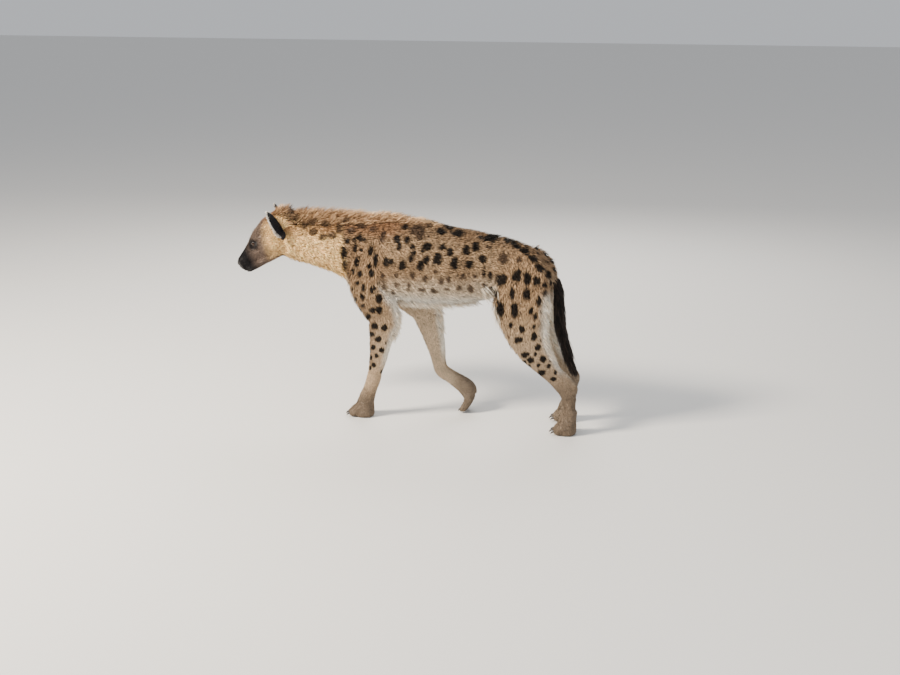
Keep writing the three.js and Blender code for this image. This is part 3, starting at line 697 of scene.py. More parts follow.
def face_colour(points):
    """Colour of the head: dark muzzle and eyes, grey bridge, cream cheeks and russet crown."""
    along, across, up = body_to_head(points).T
    across = np.abs(across)
    eye = (np.stack([along, across, up], 1) - np.array(EYE_AT)) * np.array([0.8, 0.8, 1])
    colour = tone("face")
    for shade, share in (
        (tone("cream"), step(112, 170, along - 0.6 * (up + 20)) * step(24, 56, across)),
        (tone("russet") * 1.5, step(170, 240, along) * step(50, 78, up)),
        (tone("muzzle"), step(106, 48, along - 0.25 * up)),
        (tone("muzzle"), step(32, 16, np.linalg.norm(eye, axis=1)) * 0.94),
    ):
        colour = mix(colour, shade, share)
    return colour


def coat_colour(points, normals, region, marks):
    """Base colour of the coat at points in the body's millimetres, from broad washes to the marks."""
    x, y, z = points.T
    broad, fine = value_noise(points, 60, 2), value_noise(points, 14, 3)
    head, trunk = region == HEAD, region == BARREL
    limb = np.isin(region, (FORE, HIND, PAW))
    inner = limb * step(-0.1, -0.5, normals[:, 1] * np.sign(y)) * step(520, 470, z)
    ridge = step(690, 765, z + 0.11 * np.maximum(x, -60)) * ~head
    blotch = step(0.4, 0.75, broad) * np.isin(region, (BARREL, HIND)) * step(500, 560, z)
    rump = step(330, 440, x) * step(440, 560, z) * ~head
    heel = limb * step(0.3, 0.8, normals[:, 0]) * step(180, 260, z) * step(560, 500, z)
    shin = (region == FORE) * step(0.25, -0.6, normals[:, 0]) * step(170, 240, z) * step(540, 440, z)
    lifted = (y > 30) & (x > 60) & (x < 300)
    fore_foot = np.where(lifted, step(125, 200, x) * step(230, 160, z), step(150, 60, z))
    foot = np.where(x > 400, step(330, 110, z), fore_foot) * limb
    shoulder = step(-250, -200, x) * step(-40, -90, x) * step(500, 560, z) * (region != NAPE)
    throat = (region == NAPE) * step(-180, -250, x)
    nape = step(690, 735, z - 0.03 * x) * step(70, -60, x) * ~head
    brush = (region == BRUSH) * step(612, 590, z)
    tail = step(566, 576, x) * step(30, 22, np.abs(y)) * step(300, 330, z)
    colour = tone("buff")
    for shade, share in (
        (tone("pale"), step(590, 515, z - 0.05 * x) * trunk),
        (tone("white"), step(520, 466, z - 0.02 * x) * trunk),
        (tone("back"), ridge * 0.8 * (0.7 + 0.5 * broad)),
        (tone("pale"), 0.4 * step(480, 300, z) * limb),
        (tone("pale"), 0.7 * inner),
        (tone("back"), 0.4 * blotch),
        (tone("back") * 1.5, 0.35 * rump),
        (tone("white"), 0.95 * heel),
        (tone("back"), shin * (1 - inner) * 0.6 * (0.6 + 0.6 * broad)),
        (tone("foot"), 0.85 * foot),
        (tone("back") * 1.2, shoulder * 0.5 * (0.5 + broad)),
        (tone("cream"), throat),
        (tone("russet") * 1.25, nape * (0.5 + 0.45 * broad)),
        (face_colour(points), head * 1.0),
        (tone("black"), np.maximum(brush, tail)),
    ):
        colour = mix(colour, shade, share)
    colour = colour * (0.86 + 0.28 * fine)[:, None]
    dark, faded = spot_mask(points, marks)
    clear = (1 - inner) * (1 - 0.9 * head) * (1 - step(0.15, 0.5, heel))
    colour = mix(colour, tone("faded"), faded * clear * 0.88)
    return mix(colour, tone("spot"), dark * clear * 0.985)


# Meshes
UV_MAP = "OFBake"
PATCH = 0.003
SKIN_GAP, HAIR_GAP = 0.4, 0.5
DRAW_IN = 0.7


def new_object(name, mesh):
    obj = bpy.data.objects.new(name, mesh)
    bpy.context.scene.collection.objects.link(obj)
    return obj


def loft_rings(bm, loft, rings, sides, place=lambda p: p):
    """Adds a closed body: circles shaped to the sections, bridged one to the next and filled at both ends."""
    loops = []
    angle = np.arange(sides) * 2 * np.pi / sides
    for t in np.linspace(0, 1, rings):
        section = to_world(place(loft.point(np.full(sides, t), angle)))
        circle = bmesh.ops.create_circle(bm, cap_ends=False, segments=sides, radius=1)["verts"]
        for vert, co in zip(circle, section):
            vert.co = co
        loops.append(list({edge for vert in circle for edge in vert.link_edges}))
    for one, two in zip(loops, loops[1:]):
        bmesh.ops.bridge_loops(bm, edges=one + two)
    for end in (loops[0], loops[-1]):
        bmesh.ops.holes_fill(bm, edges=end)


def smooth_mesh(bm, name):
    """Ends a bmesh as a smooth shaded mesh."""
    mesh = bpy.data.meshes.new(name)
    bm.to_mesh(mesh)
    bm.free()
    mesh.polygons.foreach_set("use_smooth", np.ones(len(mesh.polygons), bool))
    return mesh


def mesh_arrays(mesh):
    """Places and normals of the vertices, and the vertices of each edge."""
    out = []
    for rows, key, wide, kind in (
        (mesh.vertices, "co", 3, float),
        (mesh.vertices, "normal", 3, float),
        (mesh.edges, "vertices", 2, int),
    ):
        values = np.empty(len(rows) * wide, kind)
        rows.foreach_get(key, values)
        out.append(values.reshape(-1, wide))
    return out


def set_colour(mesh, name, values):
    attribute = mesh.color_attributes.new(name, "FLOAT_COLOR", "POINT")
    data = np.ones((len(values), 4))
    data[:, :3] = values
    attribute.data.foreach_set("color", data.ravel())


def unwrap(obj, margin):
    """Lays the piece's own shape flat in its UV map."""
    bpy.ops.object.select_all(action="DESELECT")
    bpy.context.view_layer.objects.active = obj
    obj.select_set(True)
    bpy.ops.object.mode_set(mode="EDIT")
    bpy.ops.mesh.select_all(action="SELECT")
    bpy.ops.uv.smart_project(angle_limit=1.2, island_margin=margin)
    bpy.ops.object.mode_set(mode="OBJECT")
    obj.data.uv_layers[0].name = UV_MAP


def triangles(mesh):
    """Vertices of each triangle, and their places in the UV map."""
    mesh.calc_loop_triangles()
    corners = []
    for key in ("vertices", "loops"):
        values = np.empty(len(mesh.loop_triangles) * 3, int)
        mesh.loop_triangles.foreach_get(key, values)
        corners.append(values.reshape(-1, 3))
    uv = np.empty(len(mesh.loops) * 2, np.float32)
    mesh.uv_layers[UV_MAP].data.foreach_get("uv", uv)
    return corners[0], uv.reshape(-1, 2)[corners[1]]


def vertex_uv(mesh):
    """A place in the UV map for each vertex."""
    loops = np.empty(len(mesh.loops), int)
    mesh.loops.foreach_get("vertex_index", loops)
    uv = np.empty(len(mesh.loops) * 2, np.float32)
    mesh.uv_layers[UV_MAP].data.foreach_get("uv", uv)
    at = np.zeros((len(mesh.vertices), 2))
    at[loops] = uv.reshape(-1, 2)
    return at


def areas(corners):
    a, b, c = corners[:, 0], corners[:, 1], corners[:, 2]
    return np.linalg.norm(np.cross(b - a, c - a), axis=1) / 2


def scatter(rng, wanted):
    """Seeded points on triangles, as many as wanted on each: its index and the weights of its corners."""
    face = np.repeat(np.arange(len(wanted)), rng.poisson(wanted))
    return face, rng.dirichlet([1, 1, 1], len(face))


def between(corners, weights):
    """Values inside triangles, from those at their corners."""
    spread = weights if corners.ndim == 2 else weights[:, :, None]
    return (corners * spread).sum(1)


def blades(name, root, normal, lie, length, width, rise, droop, colour, uv, segments=2, sink=2.0, tips=1.0):
    """Joined tufts: three-sided blades that leave the skin at an angle and bend down to the lie of the coat.

    They stay above the ground, and are drawn in where they would stand far out of the solids' width.
    """
    n = len(root)
    side = unit(np.cross(lie, normal))
    rng = np.random.default_rng(n)
    first, last = (
        unit(lie * np.cos(angle)[:, None] + normal * np.sin(angle)[:, None]) for angle in (rise, droop))
    # Each ring's colour is scaled by a shade: rings nearer the skin are darker, down to half at the foot, as
    # painted shade deep in the coat; the tip ring is made lighter, more so for larger tips.
    rings, shades = [], []
    for k in range(segments):
        s = k / segments
        at = root + length[:, None] * (first * (s - s * s / 2) + last * (s * s / 2))
        half = width[:, None] * 0.55 * (1 - s) ** 0.75
        shade = 0.66 + 0.5 * s
        if k == 0:
            at, half, shade = at - normal * sink, width[:, None] * 0.5, 0.5
        top = unit(np.cross(side, unit(first * (1 - s) + last * s)))
        rings.append(np.stack([at - side * half, at + side * half, at + top * half * 0.42], 1))
        shades += [shade] * 3
    rings.append((root + length[:, None] * (first + last) / 2)[:, None, :])
    shades.append(1.0 + 0.12 * tips)
    verts = np.concatenate(rings, 1)
    verts[:, :, 2] = np.maximum(verts[:, :, 2], HAIR_GAP)
    across = verts[:, :, 1] + SHIFT[1]
    past = np.maximum(np.abs(across) - CAD_BOX[1][1] / MM, 0)
    verts[:, :, 1] -= np.sign(across) * past * DRAW_IN
    per = verts.shape[1]
    index = (blade_faces(segments)[None] + (np.arange(n) * per)[:, None, None]).reshape(-1, 3)
    mesh = bpy.data.meshes.new(name)
    mesh.vertices.add(n * per)
    mesh.vertices.foreach_set("co", to_world(verts.reshape(-1, 3)).ravel())
    mesh.loops.add(index.size)
    mesh.loops.foreach_set("vertex_index", index.ravel())
    mesh.polygons.add(len(index))
    mesh.polygons.foreach_set("loop_start", np.arange(len(index)) * 3)
    mesh.polygons.foreach_set("use_smooth", np.ones(len(index), bool))
    mesh.update(calc_edges=True)
    if colour.ndim == 2:
        colour = np.stack([colour] * (segments + 1), 1)
    ring = np.minimum(np.arange(per) // 3, segments)
    # Colour of each ring: its painted shade toward the root, times each tuft's own random tone.
    shaded = colour[:, ring] * (np.array(shades) * rng.uniform(0.76, 1.2, (n, 1)))[:, :, None]
    set_colour(mesh, "Coat", np.clip(shaded, 0, 1).reshape(-1, 3))
    over = np.tile([-0.5, 0.5, 0], per)[:per]
    patch = uv[:, None, :] + np.stack([over, np.arange(per) / (per - 1) - 0.5], 1)[None] * PATCH
    layer = mesh.uv_layers.new(name=UV_MAP)
    layer.data.foreach_set("uv", patch.reshape(-1, 2)[index.ravel()].astype(np.float32).ravel())
    return new_object(name, mesh)


def blade_faces(segments):
    """Faces of one tuft: its foot, its sides ring by ring, and the three round its tip."""
    faces = [(0, 1, 2)]
    for k in range(segments - 1):
        a, b = 3 * k, 3 * k + 3
        for i, j in ((0, 2), (2, 1), (1, 0)):
            faces += [(a + i, a + j, b + j), (a + i, b + j, b + i)]
    a, tip = 3 * (segments - 1), 3 * segments
    return np.array(faces + [(a, a + 2, tip), (a + 2, a + 1, tip), (a + 1, a, tip)])


def dress(obj, material, slot, nodes=()):
    obj.data.materials.clear()
    obj.data.materials.append(material)
    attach(obj, "root")
    if nodes:
        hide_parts(*nodes)


# Materials
class Out:
    """A socket in a material, with the operators of plain arithmetic."""

    def __init__(self, graph, socket):
        self.graph, self.socket = graph, socket

    def __add__(self, other):
        return self.graph.add("ShaderNodeMath", {"operation": "ADD"}, self, other)

    def __mul__(self, other):
        return self.graph.add("ShaderNodeMath", {"operation": "MULTIPLY"}, self, other)

    def __getitem__(self, name):
        return Out(self.graph, self.socket.node.outputs[name])


class Finish:
    """A new material: its nodes are added by type, settings and inputs."""

    def __init__(self, name, roughness=0.6):
        self.material = bpy.data.materials.new(name)
        self.material.use_nodes = True
        self.nodes = self.material.node_tree.nodes
        self.links = self.material.node_tree.links
        self.shader = self.nodes["Principled BSDF"]
        self.set(Roughness=roughness)

    def set(self, **values):
        for key, value in values.items():
            self.shader.inputs[key.replace("_", " ")].default_value = value

    def add(self, kind, settings=None, *values, **named):
        node = self.nodes.new(kind)
        for key, value in (settings or {}).items():
            setattr(node, key, value)
        for key, value in list(enumerate(values)) + list(named.items()):
            if isinstance(value, Out):
                self.links.new(value.socket, node.inputs[key])
            elif value is not None:
                node.inputs[key].default_value = value
        return Out(self, node.outputs[0])

    def feed(self, name, value):
        self.links.new(value.socket, self.shader.inputs[name])

    def noise(self, scale, detail=3.0, stretch=(1, 1, 1)):
        """Noise on the piece's own coordinates, stretched along its axes."""
        at = self.add("ShaderNodeTexCoord")["Object"]
        place = self.add("ShaderNodeMapping", None, at, Scale=stretch)
        return self.add("ShaderNodeTexNoise", None, place, Scale=scale, Detail=detail)

    def tint(self, name="Coat"):
        return self.add("ShaderNodeAttribute", {"attribute_name": name})

    def shade(self, colour, amount):
        """A colour made lighter or darker by an amount around 1."""
        grey = self.add("ShaderNodeCombineColor", None, amount, amount, amount)
        node = self.nodes.new("ShaderNodeMix")
        node.data_type = "RGBA"
        node.blend_type = "MULTIPLY"
        node.inputs["Factor"].default_value = 1.0
        self.links.new(colour.socket, node.inputs[6])
        self.links.new(grey.socket, node.inputs[7])
        return Out(self, node.outputs[2])

    def bump(self, height, strength, distance):
        return self.add("ShaderNodeBump", None, Strength=strength, Distance=distance, Height=height)


def coat_finish(name, roughness, streak):
    f = Finish(name, roughness)
    grain = f.noise(streak, 4.0)
    f.feed("Base Color", f.shade(f.tint(), grain * 0.5 + 0.75))
    f.set(Specular_IOR_Level=0.12)
    return f.material


def skin_finish():
    """Very short hair over the skin, and wet where the nose and the lids are bare."""
    f = Finish("short_coat_and_skin", 0.7)
    fine = f.noise(900.0, 3.0, (1, 1, 0.35))
    broad = f.noise(260.0, 4.0, (0.6, 1, 1))
    f.feed("Base Color", f.shade(f.tint(), broad * 0.5 + fine * 0.35 + 0.58))
    f.feed("Normal", f.bump(fine + broad, 0.5, 0.002))
    f.feed("Roughness", f.tint("Wet") * -0.42 + 0.78)
    return f.material


def eye_finish():
    """A moist eye, with its pupil and iris in the colours of its vertices."""
    f = Finish("eye", 0.14)
    f.feed("Base Color", f.tint("Iris"))
    f.set(Specular_IOR_Level=0.22, Coat_Weight=0.15, Coat_Roughness=0.03)
    return f.material


def horn_finish():
    f = Finish("claw_horn", 0.42)
    grain = f.noise(500.0, 3.0, (1, 1, 4))
    f.feed("Base Color", f.shade(f.tint(), grain * 0.5 + 0.72))
    f.feed("Normal", f.bump(grain, 0.25, 0.0006))
    return f.material


def floor_finish():
    f = Finish("pale_floor", 0.8)
    f.set(Base_Color=(0.72, 0.71, 0.69, 1))
    return f.material


# Sizes and colours that a user can change
class HyenaSettings(bpy.types.PropertyGroup):
    """Sizes and colours of the coat, and the size of the floor."""

    voxel: bpy.props.FloatProperty(
        name="Skin detail", description="Size of the skin's faces", default=0.0055, min=0.003, max=0.02,
        unit="LENGTH")
    cover: bpy.props.FloatProperty(
        name="Coat cover", description="How many tufts lie over each point of the skin", default=5.2, min=1,
        max=8)
    mane_length: bpy.props.FloatProperty(
        name="Mane length", description="Length of the longest hair on the nape", default=0.05, unit="LENGTH")
    brush_length: bpy.props.FloatProperty(
        name="Brush length", description="Length of the hair on the tail's end", default=0.09, unit="LENGTH")
    fringe_length: bpy.props.FloatProperty(
        name="Fringe length", description="Length of the hair under the belly", default=0.05, unit="LENGTH")
    floor_size: bpy.props.FloatProperty(
        name="Floor size", description="Width of the floor", default=60.0, unit="LENGTH")
    seed: bpy.props.IntProperty(name="Seed", description="Start of the seeded scatter", default=7)


for key, (colour, where) in COAT_COLOURS.items():
    HyenaSettings.__annotations__[key] = bpy.props.FloatVectorProperty(
        name=key.replace("_", " ").capitalize(), description=where, default=colour, size=3, min=0, max=1,
        subtype="COLOR")


def settings():
    return bpy.context.scene.hyena


# What the skin's operator finds out, for the operators that lay hair on it
MADE = {}

# Sizes of the opened lids and of the folds at mouth, nose and toes, in millimetres
LID_HALF = (12.5, 7.2)
LID_CURVE = 1.8
LID_RISE = 2.2
SOCKET_SINK = 2.5
LIP_DEPTH, LIP_WIDTH, LIP_SHADE = 3.6, 2.6, 4.5
NOSTRIL_DEPTH, NOSTRIL_WIDTH = 6.0, 4.2
SLIT_DEPTH, SLIT_WIDTH = 2.5, 4
NOSE_FOLD_DEPTH, NOSE_FOLD_WIDTH = 1.6, 1.8
TOE_DEPTH, TOE_GAP = 8.0, 3.4


class HYENA_OT_skin(bpy.types.Operator):
    """Builds the one skin of head, neck, trunk, legs, paws and tail, with the folds of the face"""

    bl_idname = "hyena.skin"
    bl_label = "Skin"

    def execute(self, context):
        mesh = self.one_surface(self.forms())
        self.refine(mesh)
        self.shape(new_object("skin", mesh))
        return {"FINISHED"}

    def forms(self):
        """All forms of the body, as closed shapes that overlap."""
        body = [(TRUNK, 40, 40), (NECK, 18, 36)]
        body += [(loft, 40, 24) for loft in (LEFT_FORE, RIGHT_FORE, LEFT_HIND, RIGHT_HIND)]
        body += [(TAIL, 30, 14)] + [(loft, 14, 12) for loft in HOCKS]
        body += [(form, 14, 16) for forms, _ in PAWS for form in forms]
        head = [(SKULL, 36, 36), (JAW, 18, 24)]
        head += [(form, 12, 12) for side in (LEFT, RIGHT) for form in face_forms(side)]
        bm = bmesh.new()
        for loft, rings, sides in body:
            loft_rings(bm, loft, rings, sides)
        for loft, rings, sides in head:
            loft_rings(bm, loft, rings, sides, head_to_body)
        bmesh.ops.recalc_face_normals(bm, faces=bm.faces)
        mesh = bpy.data.meshes.new("rough_skin")
        bm.to_mesh(mesh)
        bm.free()
        return mesh

    def one_surface(self, mesh):
        rough = new_object("rough_skin", mesh)
        remesh = rough.modifiers.new("one surface", "REMESH")
        remesh.mode = "VOXEL"
        remesh.voxel_size = settings().voxel
        soften = rough.modifiers.new("soften", "SMOOTH")
        soften.factor = 0.5
        soften.iterations = 4
        bpy.context.view_layer.update()
        made = bpy.data.meshes.new_from_object(rough.evaluated_get(bpy.context.evaluated_depsgraph_get()))
        bpy.data.objects.remove(rough)
        made.name = "skin"
        return made

    def refine(self, mesh, head_reach=150, paw_height=0.062):
        """Cuts the faces of the head and of the paws smaller."""
        bm = bmesh.new()
        bm.from_mesh(mesh)
        finer = []
        for edge in bm.edges:
            along = body_to_head(np.array([v.co for v in edge.verts]) / MM - SHIFT)[:, 0]
            if along.max() < head_reach or min(v.co.z for v in edge.verts) < paw_height:
                finer.append(edge)
        bmesh.ops.subdivide_edges(bm, edges=finer, cuts=1, use_grid_fill=True, smooth=0.6)
        bm.normal_update()
        bm.to_mesh(mesh)
        bm.free()

    def shape(self, skin):
        """Draws the skin in under the coat, shapes paws and face, and colours it."""
        mesh = skin.data
        co, normal, edges = mesh_arrays(mesh)
        body = co / MM - SHIFT
        table = samples()
        near = nearest_sample(body, table[:, :3], table[:, 3])
        facts = smoothed(table[near, 4:10], edges, 14)
        region = table[near, 10].astype(int)
        behind = step(600, 690, body[:, 2]) * step(60, 200, body[:, 0])
        lie = along_skin(facts[:, :3] + behind[:, None] * np.array([0.6, 0, 0]), normal)
        length, depth, width = facts[:, 3:].T
        depth = depth * (1 - step(30, 4, body[:, 2]))
        body = self.toes(body - normal * depth[:, None], normal)
        body, wet, dark = self.face(body, normal)
        body[:, 2] = np.maximum(body[:, 2], SKIN_GAP)
        mesh.vertices.foreach_set("co", to_world(body).ravel())
        mesh.update()
        _, normal, _ = mesh_arrays(mesh)
        marks = photo_marks(body, normal)
        marks += seeded_marks(body, normal, region, marks)
        set_colour(mesh, "Coat", mix(coat_colour(body, normal, region, marks), tone("black"), dark))
        mesh.attributes.new("Wet", "FLOAT", "POINT").data.foreach_set("value", wet)
        mesh.polygons.foreach_set("use_smooth", np.ones(len(mesh.polygons), bool))
        unwrap(skin, 0.001)
        MADE.update(
            skin=skin, body=body, normal=normal, lie=lie, length=length, width=width, region=region,
            dark=dark, marks=marks, uv=vertex_uv(mesh))
        dress(skin, skin_finish(), "pelt", (
            "head", "neck", "torso", "foreleg_left", "foreleg_right", "hindleg_left", "hindleg_right",
            "forepaw_left", "forepaw_right", "hindpaw_left", "hindpaw_right", "tail"))

    def toes(self, body, normal):
        """Draws in the skin between the toes of each paw."""
        depth = np.zeros(len(body))
        for forms, _ in PAWS:
            paths = [curve(form.rows[:, :3], np.linspace(0, 1, 24)) for form in forms[1:]]
            near = np.flatnonzero(np.linalg.norm(body - paths[1][12], axis=1) < 75)
            row = np.arange(len(near))
            for one, two in zip(paths, paths[1:]):
                d = body[near][:, None] - (one + two) / 2
                off = np.abs((d * unit(two - one)).sum(2))
                away = np.linalg.norm(d, axis=2)
                pick = away.argmin(1)
                groove = bell(off[row, pick], TOE_GAP) * step(0, 8, pick) * step(30, 22, away[row, pick])
                depth[near] = np.maximum(depth[near], TOE_DEPTH * groove)
        return body - normal * depth[:, None]

    def face(self, body, normal):
        """Moves the skin of the face, and tells where it is wet and where it is bare and dark."""
        local = body_to_head(body)
        side = np.where(local[:, 1] < 0, LEFT, RIGHT)
        flip = np.stack([np.ones_like(side), side, np.ones_like(side)], 1)
        out = (normal @ np.array(HEAD_TURN)[:3, :3]) * flip
        p, dark, wet = self.lids(local * flip)
        close = np.flatnonzero(p[:, 0] < 130)
        gap = np.full(len(p), 99.0)
        line = curve(MOUTH_LINE, np.linspace(0, 1, 60))
        gap[close] = np.linalg.norm(p[close][:, None] - line[None], axis=2).min(1)
        p = p - out * (LIP_DEPTH * bell(gap, LIP_WIDTH))[:, None]
        dark = np.maximum(dark, bell(gap, LIP_SHADE))
        hole = np.linalg.norm((p - np.array([-1, 9.5, 4])) * np.array([0.7, 1, 1]), axis=1)
        slit = np.linalg.norm((p - np.array([5, 18, 2])) * np.array([0.8, 0.8, 1.5]), axis=1)
        sunk = NOSTRIL_DEPTH * bell(hole, NOSTRIL_WIDTH) + SLIT_DEPTH * bell(slit, SLIT_WIDTH)
        p = p + np.array([1, -0.2, 0]) * sunk[:, None]
        pad = (1 - step(8, 17, p[:, 0])) * step(-14, -8, p[:, 2])
        fold = bell(p[:, 1], NOSE_FOLD_WIDTH) * (p[:, 0] < 14) * (p[:, 2] < 10)
        p = p + np.array([NOSE_FOLD_DEPTH, 0, 0]) * fold[:, None]
        p[:, 1] *= side
        moved = np.linalg.norm(p - local, axis=1) > 1e-6
        body = body.copy()
        body[moved] = head_to_body(p[moved])
        return body, np.maximum(wet, pad * 0.7), np.maximum(dark, pad)

    def lids(self, p):
        """Opens the lids round the eye, in the head's own millimetres."""
        d = p - np.array(EYE_AT)
        r = np.linalg.norm(d, axis=1)
        near = (r < 34) & (d @ GAZE > 0)
        long, tall = d @ EYE_LONG, d @ np.cross(GAZE, EYE_LONG)
        m = (np.abs(long) / LID_HALF[0]) ** LID_CURVE + (np.abs(tall) / LID_HALF[1]) ** LID_CURVE
        away = step(1.0, 4.5, m)
        rim = (EYE_RADIUS + LID_RISE) * (1 - away) + r * away
        reach = np.where(m < 1, EYE_RADIUS - SOCKET_SINK, rim)
        p = np.where(near[:, None], np.array(EYE_AT) + unit(d) * reach[:, None], p)
        return p, near * (1 - step(1.6, 3.4, m)), near * (1 - step(1.0, 1.8, m)) * 0.8


def roots_on_skin(rng, cover):
    """Seeded roots over the skin: where, how they lie, and what the coat is there."""
    tri, uv = triangles(MADE["skin"].data)
    region = MADE["region"][tri[:, 0]]
    corners = MADE["body"][tri]
    size = (MADE["length"] * MADE["width"])[tri].mean(1)
    bare = MADE["dark"][tri].max(1) > 0.6
    sole = corners[:, :, 2].max(1) < 6
    thin = np.where(region == PAW, 0.8, 1.0)
    face, w = scatter(rng, areas(corners) / size * cover * thin * ~bare * ~sole)
    got = {key: between(MADE[key][tri[face]], w) for key in ("body", "normal", "lie", "length", "width")}
    got.update(normal=unit(got["normal"]), lie=unit(got["lie"]), uv=between(uv[face], w), region=region[face])
    return got


class HYENA_OT_coat(bpy.types.Operator):
    """Lays the short coat over the skin, tuft by tuft, along the lie of the hair"""

    bl_idname = "hyena.coat"
    bl_label = "Coat"

    def execute(self, context):
        rng = np.random.default_rng(settings().seed)
        got = roots_on_skin(rng, settings().cover)
        keep = ~((got["region"] == BRUSH) & (got["body"][:, 2] < 450))
        got = {name: value[keep] for name, value in got.items()}
        root, region, normal = got["body"], got["region"], got["normal"]
        n = len(root)
        lie = along_skin(unit(got["lie"] + rng.normal(0, 0.16, (n, 3))), normal)
        clump = value_noise(root, 22, 21)
        lie = unit(lie + np.cross(normal, lie) * (clump - 0.5)[:, None] * 0.7)
        length = got["length"] * rng.uniform(0.8, 1.2, n)
        width = got["width"] * rng.uniform(0.75, 1.2, n)
        rise = rng.uniform(0.3, 0.62, n) * (0.75 + 0.5 * clump)
        droop = rise * rng.uniform(0.25, 0.7, n)
        shades = np.stack([
            coat_colour(root + lie * (length * share)[:, None], normal, region, MADE["marks"])
            for share in (0.1, 0.4, 0.75)], 1)
        finish = coat_finish("coat_hair", 0.62, 320.0)
        for name, pick in self.groups(region, root[:, 0], root[:, 1]).items():
            columns = (root, normal, lie, length, width, rise, droop, shades, got["uv"])
            obj = blades(name, *(column[pick] for column in columns))
            dress(obj, finish, "paw" if "paw" in name else "pelt")
        return {"FINISHED"}

    def groups(self, region, x, y):
        """The tufts of each piece."""
        paw = region == PAW
        groups = {"coat_head": region == HEAD, "coat_neck": region == NAPE}
        for name, part in (
            ("coat_flank", region == BARREL),
            ("coat_foreleg", region == FORE),
            ("coat_hindleg", region == HIND),
            ("coat_forepaw", paw & (x < 300)),
        ):
            groups[name + "_left"] = part & (y < 0)
            groups[name + "_right"] = part & (y >= 0)
        groups["coat_hindpaws"] = paw & (x >= 300)
        groups["coat_tail"] = region == BRUSH
        return groups


def skin_roots(rng, pick, spacing):
    """Seeded vertices of the skin among those that pick gives, about spacing apart."""
    index = np.flatnonzero(pick)
    rng.shuffle(index)
    cells = (MADE["body"][index] // spacing).astype(int)
    _, first = np.unique(cells, axis=0, return_index=True)
    return index[np.sort(first)]


